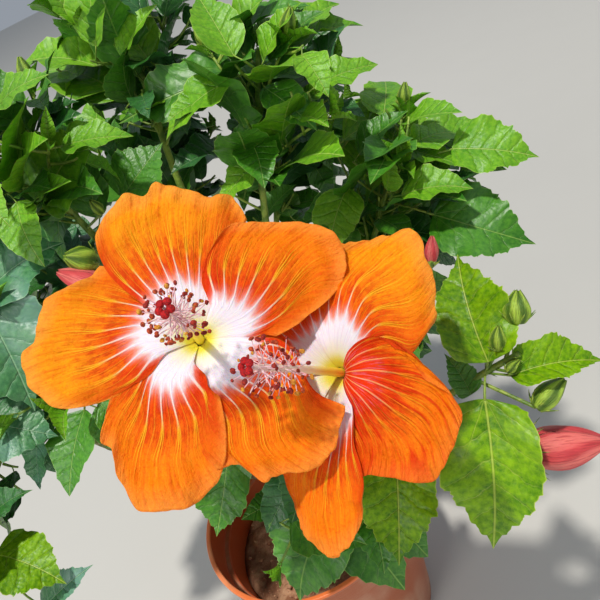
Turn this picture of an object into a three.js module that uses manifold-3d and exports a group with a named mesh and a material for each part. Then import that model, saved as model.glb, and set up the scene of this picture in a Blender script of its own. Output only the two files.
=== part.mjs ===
import * as THREE from 'three';
import { mergeVertices } from 'three/addons/utils/BufferGeometryUtils.js';
import Module from 'manifold-3d';

// Hibiscus shrub with orange blooms in its terracotta-coloured pot.
// Millimetres, +Z up. The origin is the middle of the pot's flat underside, and the blooms face -Y.

const v = (x, y, z) => new THREE.Vector3(x, y, z);
const UP = v(0, 0, 1);
const GAP = 0.3;

// Pot: a plain nursery pot with a collar, and the ball of clay soil in it
const POT = {
  height: 180, rim: 100, foot: 72, wall: 2.8, floor: 3, collar: 30, ledge: 6, lip: 4, sides: 30,
};
const DRAIN = { count: 4, radius: 6, out: 44 };
const SOIL = { top: 137, shoulder: 11, edgeGap: 7 };

// Main stem, from a flat cut on the soil to its tip
const STEM = {
  path: new THREE.CubicBezierCurve3(
    v(0, 0, SOIL.top + GAP), v(5, -3, 185), v(-8, 5, 230), v(3, 2, 292)),
  flare: 12, foot: 8.5, tip: 5, flareLength: 0.12, sides: 10, steps: 9,
};

// Boughs: where on the main stem each one leaves (0 is its foot, 1 its tip) and where its tip is
const BOUGH = { root: 3.9, tip: 2.5, rise: 0.3, out: 0.62, sides: 6, steps: 4 };
const BOUGHS = {
  low_back: { leaves: 0.3, tip: v(-24, 50, 262) },
  low_right: { leaves: 0.42, tip: v(72, 18, 282) },
  low_left: { leaves: 0.58, tip: v(-116, -20, 392) },
  front_low: { leaves: 0.36, tip: v(46, -58, 274) },
  front_right: { leaves: 0.5, tip: v(106, -116, 322) },
  back_right: { leaves: 0.46, tip: v(78, 66, 362) },
  back_left: { leaves: 0.55, tip: v(-62, 66, 362) },
  right: { leaves: 0.62, tip: v(118, -6, 346) },
  left: { leaves: 0.67, tip: v(-92, 14, 366) },
  bloom_right: { leaves: 0.72, tip: v(94, -104, 366) },
  back: { leaves: 0.74, tip: v(14, 84, 384) },
  front_left: { leaves: 0.8, tip: v(-58, -42, 378) },
  bloom_left: { leaves: 0.88, tip: v(12, -78, 388) },
  upper_right: { leaves: 0.9, tip: v(82, 8, 430) },
  upper_left: { leaves: 0.95, tip: v(-20, 12, 464) },
  top: { leaves: 1, tip: v(42, 44, 478) },
};

// Foliage masses: each keeps to a ball, cut flat where it meets its neighbours' balls
const MASSES = {
  front_right: { at: v(152, -158, 358), reach: 106, end: v(176, -163, 387), shoots: 0, seed: 11 },
  front_low: { at: v(44, -112, 300), reach: 104, end: v(64, -128, 306), shoots: 2, seed: 12 },
  low_left: { at: v(-182, -66, 366), reach: 78, end: v(-196, -78, 368), shoots: 3, seed: 13 },
  low_back: { at: v(-34, 92, 306), reach: 88, end: v(-40, 112, 330), shoots: 5, seed: 23 },
  low_right: { at: v(122, 26, 318), reach: 84, end: v(138, 30, 342), shoots: 5, seed: 24 },
  front_left: { at: v(-92, -52, 446), reach: 90, end: v(-96, -52, 486), shoots: 5, seed: 14 },
  left: { at: v(-150, 36, 432), reach: 98, end: v(-176, 38, 470), shoots: 6, seed: 15 },
  back_left: { at: v(-98, 126, 430), reach: 100, end: v(-120, 148, 474), shoots: 5, seed: 16 },
  back: { at: v(22, 156, 464), reach: 100, end: v(24, 182, 508), shoots: 6, seed: 17 },
  back_right: { at: v(138, 122, 446), reach: 100, end: v(160, 138, 488), shoots: 5, seed: 18 },
  right: { at: v(176, 8, 426), reach: 92, end: v(200, 4, 458), shoots: 6, seed: 19 },
  upper_right: { at: v(122, 16, 512), reach: 90, end: v(132, 14, 552), shoots: 5, seed: 20 },
  upper_left: { at: v(-34, 10, 546), reach: 92, end: v(-44, 10, 586), shoots: 6, seed: 21 },
  top: { at: v(60, 86, 560), reach: 92, end: v(66, 94, 600), shoots: 6, seed: 22 },
};

// Leaves: a full-grown blade's length, the youngest blade's, and the rule that sets them round a shoot
const LEAF = {
  length: 94, young: 64, grown: 40, width: 0.66, petiole: 0.16, stalkRoot: 0.5, stalkFoot: 1.1,
  thickness: 1.8, arch: 0.07, spacing: 14, turn: 2.4, lean: 0.7, side: 0.8,
};
const VARIED = { size: [0.9, 1.06], hang: [-0.1, -0.6], out: 0.3 };
const LIGHT = v(0, -0.4, 1);

// Stems and shoots. Shoots leave their stem between low and high, towards a share of the ball's reach
// that shrinks from fill until there is room, and bend is how far each limb runs on before it turns.
const MASS_STEM = { root: 3.6, tip: 2.4, steps: 3, bend: 0.45 };
const SHOOT = {
  root: 1.6, tip: 1.2, sides: 3, steps: 2, shortest: 20, bend: 0.35, leafless: 0.35,
  low: 0.12, high: 0.75, fill: 0.56, least: 0.25, shrink: 0.1, lift: 0.35, checks: 12, skipped: 3,
};
const TRY = { count: 7, turn: 0.9, shrink: 0.06 };
const CLEAR = { limb: 1.6, leaf: 4.5, stalk: 1.8, petal: 5, shoot: 4, space: 0.6 };
const CROWN = { middle: v(10, 10, 360), flatness: 0.5 };
const OUTLINE_PLAIN = [[0.36, 1], [0.72, 0.6]];
const OUTLINE_FINE = [[0.1, 0.62], [0.3, 1], [0.55, 0.86], [0.8, 0.44]];

// Leaves set by hand on the side that the blooms face: root on the shoot, foot and tip of the blade, width
const PLACED = {
  front_right: [
    [v(156, -160, 372), v(149, -166, 371), v(114, -200, 290), 62],
    [v(156, -162, 372), v(159, -160, 389), v(178, -111, 430), 50],
    [v(156, -162, 372), v(167, -165, 377), v(216, -177, 368), 30],
    [v(140, -149, 356), v(146, -152, 364), v(143, -137, 388), 18],
  ],
  front_low: [
    [v(64, -128, 306), v(93, -147, 346), v(63, -188, 303), 50],
    [v(60, -118, 300), v(80, -146, 306), v(60, -178, 272), 42],
    [v(52, -90, 292), v(42, -122, 296), v(-22, -138, 246), 50],
    [v(48, -66, 284), v(-4, -78, 334), v(-48, -106, 292), 44],
  ],
  low_left: [[v(-172, -60, 354), v(-176, -84, 362), v(-134, -116, 334), 42]],
  front_left: [
    [v(-88, -50, 470), v(-90, -34, 506), v(-30, -28, 512), 52],
    [v(-84, -46, 440), v(-94, -54, 494), v(-108, -76, 438), 48],
    [v(-80, -44, 430), v(-128, -66, 446), v(-86, -84, 420), 46],
  ],
  right: [
    [v(186, -10, 408), v(190, -40, 416), v(238, -82, 388), 56],
    [v(198, -8, 420), v(218, -32, 450), v(262, -62, 434), 40],
  ],
  upper_right: [[v(118, 14, 514), v(114, 26, 544), v(26, 44, 548), 44]],
  upper_left: [
    [v(-28, 10, 508), v(-34, -10, 534), v(20, -6, 562), 52],
    [v(-22, 12, 492), v(10, -2, 512), v(50, 6, 530), 44],
  ],
};

// Buds: where each stalk leaves its shoot, where the bud starts, its tip, and its thickness
const BUD = { stalk: 1.1, end: 0.8, swell: [0.12, 0.97], fullness: 0.8, sunk: 0.08 };
const BUDS = {
  front_right: [
    [v(168, -162, 382), v(181, -158, 402), v(191, -150, 422), 16],
    [v(156, -162, 372), v(166, -160, 394), v(172, -156, 406), 11],
    [v(150, -158, 366), v(170, -178, 360), v(191, -177, 369), 15],
    [v(128, -138, 345), v(160, -172, 321), v(201, -188, 317), 19],
  ],
};

// Open air before the shrub: cones from one point to each bloom, to the soil, and past the left of the pot
const OPEN_AIR = {
  from: v(83, -414, 644),
  cones: [
    { to: v(31, -155, 486), radius: 76, beyond: false },
    { to: v(79, -177, 448), radius: 76, beyond: false },
    { to: v(-22, -52, 138), radius: 20, beyond: false },
    { to: v(-170, -40, 260), radius: 62, beyond: true },
  ],
};

// Blooms. The axis points out of the throat. Each petal is given as the angles of its two edges at
// four stations from the throat outwards, in degrees round the throat as seen from the front, then its
// reach at seven even angles from one edge to the other, and how far its margin lifts.
const BLOOM = {
  throat: 16, throatWidth: 9, recurve: 0.0009, layer: 4.2, thickness: 1.1, hub: 5, rows: 4, columns: 6,
};
const COLUMN = {
  root: 2.4, tip: 1.4, sunk: 0.6, stamens: 10, from: 0.5, to: 0.94,
  filament: 11, filamentRadius: 0.5, slant: 0.35, anther: 1.5,
};
const STYLE = { count: 5, length: 9, slant: 1.4, radius: 0.6, pad: 2 };
const CALYX = { length: 24, radius: 7.5, back: 26, front: 7 };
const BLOOMS = {
  bloom_left: {
    throat: v(31, -155, 486), axis: v(0.076, -0.704, 0.706), column: 58, stalk: 1.9,
    petals: [
      [[35, 36, 38, 37], [118, 117, 114, 104], [63, 75, 73, 81, 81, 84, 75], 0],
      [[-50, -44, -30, -32], [50, 58, 51, 47], [42, 58, 80, 84, 74, 64, 54], 3],
      [[-138, -124, -120, -112], [-32, -32, -55, -56], [64, 61, 73, 77, 84, 82, 77], 4],
      [[-208, -194, -187, -178], [-120, -98, -101, -98], [46, 62, 69, 83, 79, 69, 42], 1],
      [[94, 100, 105, 112], [182, 192, 186, 182], [62, 66, 79, 79, 86, 80, 61], -2],
    ],
  },
  bloom_right: {
    throat: v(79, -177, 448), axis: v(-0.433, -0.499, 0.75), column: 59, stalk: 1.9,
    petals: [
      [[30, 30, 18, 28], [118, 120, 118, 92], [52, 61, 70, 78, 70, 64, 64], -9],
      [[-68, -70, -70, -72], [56, 45, 33, 16], [49, 54, 67, 68, 66, 50, 42], 0],
      [[-130, -128, -127, -112], [-50, -58, -66, -72], [66, 73, 77, 84, 85, 76, 74], 0],
      [[-184, -188, -188, -182], [-106, -108, -112, -120], [60, 66, 70, 72, 70, 66, 60], -6],
      [[108, 106, 108, 112], [188, 190, 188, 178], [58, 64, 68, 70, 68, 64, 58], -8],
    ],
  },
};

const COLOURS = {
  pot: 0xb5633c, soil: 0x7a5a3e, stem: 0x77624a, bough: 0x74813f, leaf: 0x4c8a2b, bloom: 0xf27a1a,
};

const wasm = await Module();
wasm.setup();

// Solids and booleans
function solidOf(geometry) {
  const plain = geometry.clone();
  plain.deleteAttribute('normal');
  plain.deleteAttribute('uv');
  const merged = mergeVertices(plain, 1e-4);
  return new wasm.Manifold(new wasm.Mesh({
    numProp: 3,
    vertProperties: new Float32Array(merged.attributes.position.array),
    triVerts: new Uint32Array(merged.index.array),
  }));
}

function joined(solids) {
  return solids.reduce((whole, solid) => whole.add(solid));
}

// The largest outer shell, without loose scraps or sealed hollows
function largest(solid) {
  return solid.decompose().reduce((best, part) => (part.volume() > best.volume() ? part : best));
}

function geometryOf(solid) {
  const mesh = solid.getMesh();
  const geometry = new THREE.BufferGeometry();
  geometry.setAttribute('position', new THREE.BufferAttribute(new Float32Array(mesh.vertProperties), 3));
  geometry.setIndex(new THREE.BufferAttribute(new Uint32Array(mesh.triVerts), 1));
  geometry.computeVertexNormals();
  return geometry;
}

// A closed body from rings of points, each ring turning counter-clockwise about the way it travels.
// It ends flat, or in a point when one is given.
function bodyOfRings(rings, point = null) {
  const count = rings[0].length;
  const positions = rings.flat().concat(point || []).flatMap((one) => one.toArray());
  const faces = [];
  for (let i = 0; i + 1 < rings.length; i += 1) {
    for (let j = 0; j < count; j += 1) {
      const a = i * count + j;
      const b = i * count + (j + 1) % count;
      faces.push(a, b, b + count, a, b + count, a + count);
    }
  }
  const last = (rings.length - 1) * count;
  for (let j = 1; j + 1 < count; j += 1) {
    faces.push(0, j + 1, j);
    if (!point) faces.push(last, last + j, last + j + 1);
  }
  if (point) {
    for (let j = 0; j < count; j += 1) faces.push(last + j, last + (j + 1) % count, last + count);
  }
  const geometry = new THREE.BufferGeometry();
  geometry.setAttribute('position', new THREE.Float32BufferAttribute(positions, 3));
  geometry.setIndex(faces);
  return geometry;
}

// Two directions square to a tangent, kept steady along a limb
function across(tangent, reference) {
  const side = reference.clone().addScaledVector(tangent, -reference.dot(tangent)).normalize();
  return [side, tangent.clone().cross(side)];
}

function steadyReference(direction) {
  return Math.abs(direction.z) < 0.8 ? UP : v(1, 0, 0);
}

// A tapering round limb along a curve
function limb(curve, radiusAt, sides, steps, level = false) {
  const reference = steadyReference(curve.getPoint(1).sub(curve.getPoint(0)).normalize());
  const rings = [];
  for (let i = 0; i <= steps; i += 1) {
    const t = i / steps;
    const tangent = level && i === 0 ? UP : curve.getTangent(t);
    const [side, other] = across(tangent, reference);
    const ring = [];
    for (let j = 0; j < sides; j += 1) {
      const angle = (j / sides) * Math.PI * 2;
      ring.push(curve.getPoint(t)
        .addScaledVector(side, Math.cos(angle) * radiusAt(t))
        .addScaledVector(other, Math.sin(angle) * radiusAt(t)));
    }
    rings.push(ring);
  }
  return bodyOfRings(rings);
}

const mix = (a, b, t) => a + (b - a) * t;

// Numbers between 0 and 1 that come out the same for the same seed
function seeded(seed) {
  let state = seed;
  return () => {
    state = (state + 0x6d2b79f5) | 0;
    let t = Math.imul(state ^ (state >>> 15), 1 | state);
    t = (t + Math.imul(t ^ (t >>> 7), 61 | t)) ^ t;
    return ((t ^ (t >>> 14)) >>> 0) / 4294967296;
  };
}

// Spheres along every limb, petal and leaf that later leaves keep clear of
const GUARD_SPACING = 3;
const obstacles = [];

function guard(curve, radiusAt) {
  const count = Math.ceil(curve.getLength() / GUARD_SPACING);
  for (let i = 0; i <= count; i += 1) {
    obstacles.push({ at: curve.getPoint(i / count), radius: radiusAt(i / count) + CLEAR.limb });
  }
}

// Main stem and boughs
function stemRadius(t) {
  const flare = Math.max(0, 1 - t / STEM.flareLength) ** 2;
  return mix(STEM.foot, STEM.tip, t) + (STEM.flare - STEM.foot) * flare;
}

function boughCurve(bough) {
  const start = STEM.path.getPoint(bough.leaves);
  const bend = v(
    mix(start.x, bough.tip.x, BOUGH.out),
    mix(start.y, bough.tip.y, BOUGH.out),
    mix(start.z, bough.tip.z, BOUGH.rise));
  return new THREE.QuadraticBezierCurve3(start, bend, bough.tip);
}

function boughRadius(t) {
  return mix(BOUGH.root, BOUGH.tip, t);
}

// A place and a direction on a limb as it is built, in straight lengths between its rings
const ALMOST_ONE = 0.9999;

function limbPoint({ curve, steps }, t) {
  const scaled = Math.min(t, ALMOST_ONE) * steps;
  const index = Math.floor(scaled);
  return curve.getPoint(index / steps).lerp(curve.getPoint((index + 1) / steps), scaled - index);
}

function limbDirection({ curve, steps }, t) {
  const index = Math.floor(Math.min(t, ALMOST_ONE) * steps);
  return curve.getPoint((index + 1) / steps).sub(curve.getPoint(index / steps)).normalize();
}

// Where a limb goes on from a bough's tip, a gap clear of it, and which way it sets out
function onwardFrom(bough) {
  const direction = boughCurve(bough).getTangent(1);
  return { start: bough.tip.clone().addScaledVector(direction, GAP), direction };
}

function onwardTo(bough, end) {
  const { start, direction } = onwardFrom(bough);
  const bend = start.clone().addScaledVector(direction, start.distanceTo(end) * MASS_STEM.bend);
  return new THREE.QuadraticBezierCurve3(start, bend, end);
}

// Spaces of the masses
function inSpace(name, point) {
  const own = MASSES[name];
  const depth = point.distanceToSquared(own.at) - own.reach ** 2;
  if (depth > 0) return false;
  return Object.values(MASSES).every((other) => {
    if (other === own) return true;
    const beyond = point.distanceToSquared(other.at) - other.reach ** 2 - depth;
    return beyond > 2 * CLEAR.space * own.at.distanceTo(other.at);
  });
}

// Whether a point stands in the open air before the shrub
function inOpenAir(point) {
  return OPEN_AIR.cones.some(({ to, radius, beyond }) => {
    const sight = to.clone().sub(OPEN_AIR.from);
    const along = point.clone().sub(OPEN_AIR.from).dot(sight) / sight.lengthSq();
    if (along < 0 || (along > 1 && !beyond)) return false;
    const onSight = OPEN_AIR.from.clone().addScaledVector(sight, along);
    return point.distanceTo(onSight) < radius * along;
  });
}

// Leaves
function leafFrame(leaf) {
  const axis = leaf.tip.clone().sub(leaf.foot);
  const length = axis.length();
  axis.normalize();
  const normal = leaf.facing.clone().addScaledVector(axis, -leaf.facing.dot(axis)).normalize();
  return { axis, length, normal, side: axis.clone().cross(normal) };
}

function leafPoint(leaf, frame, along, out, down) {
  return leaf.foot.clone()
    .addScaledVector(frame.axis, frame.length * along)
    .addScaledVector(frame.normal, frame.length * LEAF.arch * 4 * along * (1 - along) - down)
    .addScaledVector(frame.side, out);
}

// Stalk and blade with a three-sided section: right edge, keel, left edge. A leaf set by hand may
// turn back on its stalk, so its stalk is a limb of its own, sunk into the blade's foot.
const SUNK = { along: 0.06, deep: 0.8, bend: 0.7 };

function leafBody(leaf) {
  const frame = leafFrame(leaf);
  const ring = (centre, half, keel) => [
    centre.clone().addScaledVector(frame.side, half),
    centre.clone().addScaledVector(frame.normal, -keel),
    centre.clone().addScaledVector(frame.side, -half),
  ];
  const blade = (leaf.placed ? OUTLINE_FINE : OUTLINE_PLAIN).map(([along, share]) => (
    ring(leafPoint(leaf, frame, along, 0, 0), (leaf.width * share) / 2, LEAF.thickness)));
  const foot = ring(leaf.foot, LEAF.stalkFoot, LEAF.thickness);
  if (!leaf.placed) {
    const root = ring(leaf.root, LEAF.stalkRoot, LEAF.stalkRoot);
    return solidOf(bodyOfRings([root, foot, ...blade], leaf.tip));
  }
  const sunk = leafPoint(leaf, frame, SUNK.along, 0, SUNK.deep);
  const bend = leaf.root.clone().lerp(leaf.foot, SUNK.bend);
  const stalk = new THREE.QuadraticBezierCurve3(leaf.root, bend, sunk);
  return solidOf(bodyOfRings([foot, ...blade], leaf.tip))
    .add(solidOf(limb(stalk, () => LEAF.stalkFoot, 3, 2)));
}

// The blade as four flat triangles, to keep it clear of what is there before it
function leafTriangles(leaf) {
  const frame = leafFrame(leaf);
  const [[a, wide], [b, narrow]] = OUTLINE_PLAIN;
  const edge = (along, share, way) => leafPoint(leaf, frame, along, (way * leaf.width * share) / 2, 0);
  const [l1, r1, l2, r2] = [edge(a, wide, -1), edge(a, wide, 1), edge(b, narrow, -1), edge(b, narrow, 1)];
  return [
    new THREE.Triangle(leaf.foot, l1, r1), new THREE.Triangle(l1, l2, r1),
    new THREE.Triangle(l2, r2, r1), new THREE.Triangle(l2, leaf.tip, r2),
  ];
}

// Points over the blade in rows, each by its place along the blade and its share of the width
const SAMPLE_ROWS = [[0.02, 0], [0.16, 0.55], [0.34, 1], [0.52, 0.88], [0.7, 0.62], [0.86, 0.3], [1, 0]];
const STALK_CHECKED = 0.45;
const STALK_GUARDS = [0.4, 0.7];

function leafSamples(leaf) {
  const frame = leafFrame(leaf);
  return SAMPLE_ROWS.flatMap(([along, share]) => (share === 0 ? [0] : [-1, 0, 1]).map(
    (way) => leafPoint(leaf, frame, along, (way * leaf.width * share) / 2, 0)));
}

function leafFits(name, leaf) {
  const samples = leafSamples(leaf);
  if (!samples.every((point) => inSpace(name, point) && !inOpenAir(point))) return false;
  const triangles = leafTriangles(leaf);
  const stalk = new THREE.Line3(leaf.root.clone().lerp(leaf.foot, STALK_CHECKED), leaf.foot);
  const middle = leaf.root.clone().lerp(leaf.tip, 0.5);
  const nearest = v(0, 0, 0);
  return obstacles.every(({ at, radius }) => {
    if (at.distanceTo(middle) > leaf.width / 2 + leaf.root.distanceTo(leaf.tip) / 2 + radius) return true;
    if (stalk.closestPointToPoint(at, true, nearest).distanceTo(at) < radius) return false;
    return triangles.every((triangle) => (
      triangle.closestPointToPoint(at, nearest).distanceTo(at) > radius));
  });
}

function guardLeaf(leaf) {
  leafSamples(leaf).forEach((at) => obstacles.push({ at, radius: CLEAR.leaf }));
  STALK_GUARDS.forEach((share) => (
    obstacles.push({ at: leaf.root.clone().lerp(leaf.foot, share), radius: CLEAR.stalk })));
}

// Which way is outward from the middle of the crown, at a point
function outward(point) {
  const way = point.clone().sub(CROWN.middle);
  return way.setZ(way.z * CROWN.flatness).normalize();
}

// The leaf at a place on a shoot: it leans out from the shoot, then hangs outward. A blade that would
// lie back along its own stalk is marked, and is skipped.
const LEAST_OPENING = 0.2;

function leafOn(shoot, t, turn, size, random) {
  const root = limbPoint(shoot, t);
  const tangent = limbDirection(shoot, t);
  const [side, other] = across(tangent, steadyReference(tangent));
  const radial = side.multiplyScalar(Math.cos(turn)).addScaledVector(other, Math.sin(turn));
  const length = size * mix(...VARIED.size, random());
  const stalk = radial.clone().multiplyScalar(LEAF.side)
    .addScaledVector(tangent, 1 - LEAF.side).normalize();
  const foot = root.clone().addScaledVector(stalk, length * LEAF.petiole);
  const out = outward(foot);
  const along = stalk.addScaledVector(out, LEAF.lean)
    .addScaledVector(UP, mix(...VARIED.hang, random())).normalize();
  const tip = foot.clone().addScaledVector(along, length);
  const facing = LIGHT.clone().addScaledVector(out, VARIED.out);
  const turnsBack = foot.clone().sub(root).normalize().dot(along) < LEAST_OPENING;
  return { root, foot, tip, facing, width: length * LEAF.width, turnsBack };
}

// The shoot towards one aim, if there is room and it keeps clear of what is there before it
function shootTowards(name, stem, t, aim) {
  const mass = MASSES[name];
  const start = limbPoint(stem, t);
  for (let share = SHOOT.fill; share > SHOOT.least; share -= SHOOT.shrink) {
    const end = mass.at.clone().addScaledVector(aim, mass.reach * share);
    const bend = start.clone().addScaledVector(limbDirection(stem, t), start.distanceTo(end) * SHOOT.bend);
    const curve = new THREE.QuadraticBezierCurve3(start, bend, end);
    const points = curve.getPoints(SHOOT.checks).slice(SHOOT.skipped);
    const room = points.every((point) => inSpace(name, point) && !inOpenAir(point));
    const free = points.every((point) => obstacles.every(
      ({ at, radius }) => point.distanceTo(at) > radius + SHOOT.root + CLEAR.shoot));
    if (room && free && curve.getLength() > SHOOT.shortest) return { curve, ...SHOOT };
  }
  return null;
}

// Foliage masses: one stem from its bough, shoots that branch from it by a turning rule
function growShoots(name, random) {
  const mass = MASSES[name];
  const stem = { curve: onwardTo(BOUGHS[name], mass.end), ...MASS_STEM };
  const shoots = [stem];
  const heading = outward(mass.at).addScaledVector(UP, SHOOT.lift).normalize();
  const [side, other] = across(heading, steadyReference(heading));
  for (let i = 0; i < mass.shoots; i += 1) {
    const turn = i * LEAF.turn + mass.seed;
    const ahead = 1 - (i + 0.8) / mass.shoots;
    const spread = Math.sqrt(1 - ahead * ahead);
    const aim = heading.clone().multiplyScalar(ahead)
      .addScaledVector(side, spread * Math.cos(turn))
      .addScaledVector(other, spread * Math.sin(turn));
    const shoot = shootTowards(name, stem, mix(SHOOT.low, SHOOT.high, random()), aim);
    if (shoot) shoots.push(shoot);
  }
  return shoots;
}

// Leaves set by hand, turned to the side that the blooms face
function placedLeaves(name, stem) {
  return (PLACED[name] || []).map(([root, foot, tip, width]) => {
    const facing = OPEN_AIR.from.clone().sub(foot).normalize().multiplyScalar(0.9).add(UP);
    return { root: nearestOn(stem, root), foot, tip, width, facing, placed: true };
  });
}

// The leaves round one shoot, from its tip down, each turned on until it finds room
function growLeaves(name, shoot, index, random) {
  const length = shoot.curve.getLength();
  const leafy = 1 - SHOOT.leafless;
  const count = Math.max(2, Math.round((length * leafy) / LEAF.spacing));
  const leaves = [];
  for (let i = 0; i < count; i += 1) {
    const t = 1 - (leafy * (i + 0.25)) / count;
    const size = mix(LEAF.young, LEAF.length, Math.min(1, (length * (1 - t)) / LEAF.grown));
    for (let attempt = 0; attempt < TRY.count; attempt += 1) {
      const turn = i * LEAF.turn + index + attempt * TRY.turn;
      const leaf = leafOn(shoot, t, turn, size * (1 - TRY.shrink * attempt), random);
      if (!leaf.turnsBack && inSpace(name, leaf.root) && leafFits(name, leaf)) {
        leaves.push(leaf);
        guardLeaf(leaf);
        break;
      }
    }
  }
  return leaves;
}

function growMass(name) {
  const random = seeded(MASSES[name].seed);
  const shoots = growShoots(name, random);
  const leaves = placedLeaves(name, shoots[0]);
  leaves.forEach(guardLeaf);
  shoots.forEach(({ curve, root }) => guard(curve, () => root * 0.6));
  if (MASSES[name].shoots > 0) {
    shoots.forEach((shoot, index) => leaves.push(...growLeaves(name, shoot, index, random)));
  }
  return { shoots, leaves };
}

// The place on a stem that is nearest to a point
function nearestOn(stem, point) {
  const points = Array.from({ length: 41 }, (_, i) => limbPoint(stem, mix(0.03, 0.96, i / 40)));
  return points.reduce((best, one) => (one.distanceTo(point) < best.distanceTo(point) ? one : best));
}

function budParts(stem, [root, foot, tip, thickness]) {
  const start = nearestOn(stem, root);
  const stalk = new THREE.QuadraticBezierCurve3(start, start.clone().lerp(foot, 0.6), foot);
  const radiusAt = (t) => (
    BUD.end + (thickness / 2) * Math.sin(Math.PI * mix(...BUD.swell, t)) ** BUD.fullness);
  const body = new THREE.LineCurve3(foot.clone().lerp(tip, -BUD.sunk), tip);
  return [solidOf(limb(stalk, () => BUD.stalk, 3, 2)), solidOf(limb(body, radiusAt, 5, 4))];
}

function massSolid(name) {
  const { shoots, leaves } = growMass(name);
  const limbs = shoots.map(({ curve, root, tip, steps }) => solidOf(
    limb(curve, (t) => mix(root, tip, t), SHOOT.sides, steps)));
  const buds = (BUDS[name] || []).flatMap((bud) => budParts(shoots[0], bud));
  return largest(joined([...limbs, ...leaves.map(leafBody), ...buds]));
}

// Blooms
function bloomFrame(bloom) {
  const axis = bloom.axis.clone().normalize();
  const up = UP.clone().addScaledVector(axis, -axis.z).normalize();
  return { axis, up, right: up.clone().cross(axis) };
}

function alongStations(values, t) {
  const scaled = Math.min(Math.max(t, 0), 1) * (values.length - 1);
  const index = Math.min(Math.floor(scaled), values.length - 2);
  return mix(values[index], values[index + 1], scaled - index);
}

// A point of a petal: u runs from its clockwise edge to the other, and w from the throat to the margin.
// The stations of its edges start a quarter of the way out.
function petalPoint(bloom, frame, [from, to, reach, lift], u, w, down) {
  const station = (w - 0.25) / 0.75;
  const angle = mix(alongStations(from, station), alongStations(to, station), u);
  const r = BLOOM.hub + (alongStations(reach, u) - BLOOM.hub) * w;
  const height = -BLOOM.throat * Math.exp(-r / BLOOM.throatWidth) - BLOOM.recurve * r * r
    + (u - 0.5) * BLOOM.layer * Math.min(1, r / 12) + lift * w * w - down;
  const radians = THREE.MathUtils.degToRad(angle);
  return bloom.throat.clone()
    .addScaledVector(frame.right, r * Math.cos(radians))
    .addScaledVector(frame.up, r * Math.sin(radians))
    .addScaledVector(frame.axis, height);
}

// A petal as a closed sheet: its upper face, its lower face, and the edge that runs round both
function petalBody(bloom, frame, petal) {
  const { rows, columns } = BLOOM;
  const points = [];
  const faces = [];
  [0, BLOOM.thickness].forEach((down) => {
    for (let i = 0; i <= rows; i += 1) {
      for (let j = 0; j <= columns; j += 1) {
        points.push(petalPoint(bloom, frame, petal, j / columns, i / rows, down));
      }
    }
  });
  const under = (rows + 1) * (columns + 1);
  const at = (i, j) => i * (columns + 1) + j;
  const quad = (a, b, c, d) => faces.push(a, b, c, a, c, d);
  for (let i = 0; i < rows; i += 1) {
    for (let j = 0; j < columns; j += 1) {
      quad(at(i, j), at(i + 1, j), at(i + 1, j + 1), at(i, j + 1));
      quad(under + at(i, j), under + at(i, j + 1), under + at(i + 1, j + 1), under + at(i + 1, j));
    }
    quad(at(i, 0), under + at(i, 0), under + at(i + 1, 0), at(i + 1, 0));
    quad(at(i, columns), at(i + 1, columns), under + at(i + 1, columns), under + at(i, columns));
  }
  for (let j = 0; j < columns; j += 1) {
    quad(at(0, j), at(0, j + 1), under + at(0, j + 1), under + at(0, j));
    quad(at(rows, j), under + at(rows, j), under + at(rows, j + 1), at(rows, j + 1));
  }
  const geometry = new THREE.BufferGeometry();
  const positions = points.flatMap((point) => point.toArray());
  geometry.setAttribute('position', new THREE.Float32BufferAttribute(positions, 3));
  geometry.setIndex(faces);
  return solidOf(geometry);
}

function onAxis(bloom, out) {
  return bloom.throat.clone().addScaledVector(bloomFrame(bloom).axis, out);
}

// The bloom's own stalk, from its bough's tip round to the back of its calyx
function stalkCurve(name) {
  const bloom = BLOOMS[name];
  const { start, direction } = onwardFrom(BOUGHS[name]);
  const end = onAxis(bloom, -CALYX.back);
  const reach = start.distanceTo(end);
  return new THREE.CubicBezierCurve3(
    start, start.clone().addScaledVector(direction, reach * 0.35),
    end.clone().addScaledVector(bloomFrame(bloom).axis, -reach * 0.45), end);
}

// A thin spoke off the column with a small head on its end: a stamen or a style
function spokeParts(bloom, out, turn, slant, length, radius, head) {
  const frame = bloomFrame(bloom);
  const centre = onAxis(bloom, out);
  const way = frame.right.clone().multiplyScalar(Math.cos(turn))
    .addScaledVector(frame.up, Math.sin(turn)).addScaledVector(frame.axis, slant).normalize();
  const end = centre.clone().addScaledVector(way, length);
  const ball = new THREE.OctahedronGeometry(head).translate(end.x, end.y, end.z);
  return [solidOf(limb(new THREE.LineCurve3(centre, end), () => radius, 3, 1)), solidOf(ball)];
}

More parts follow.
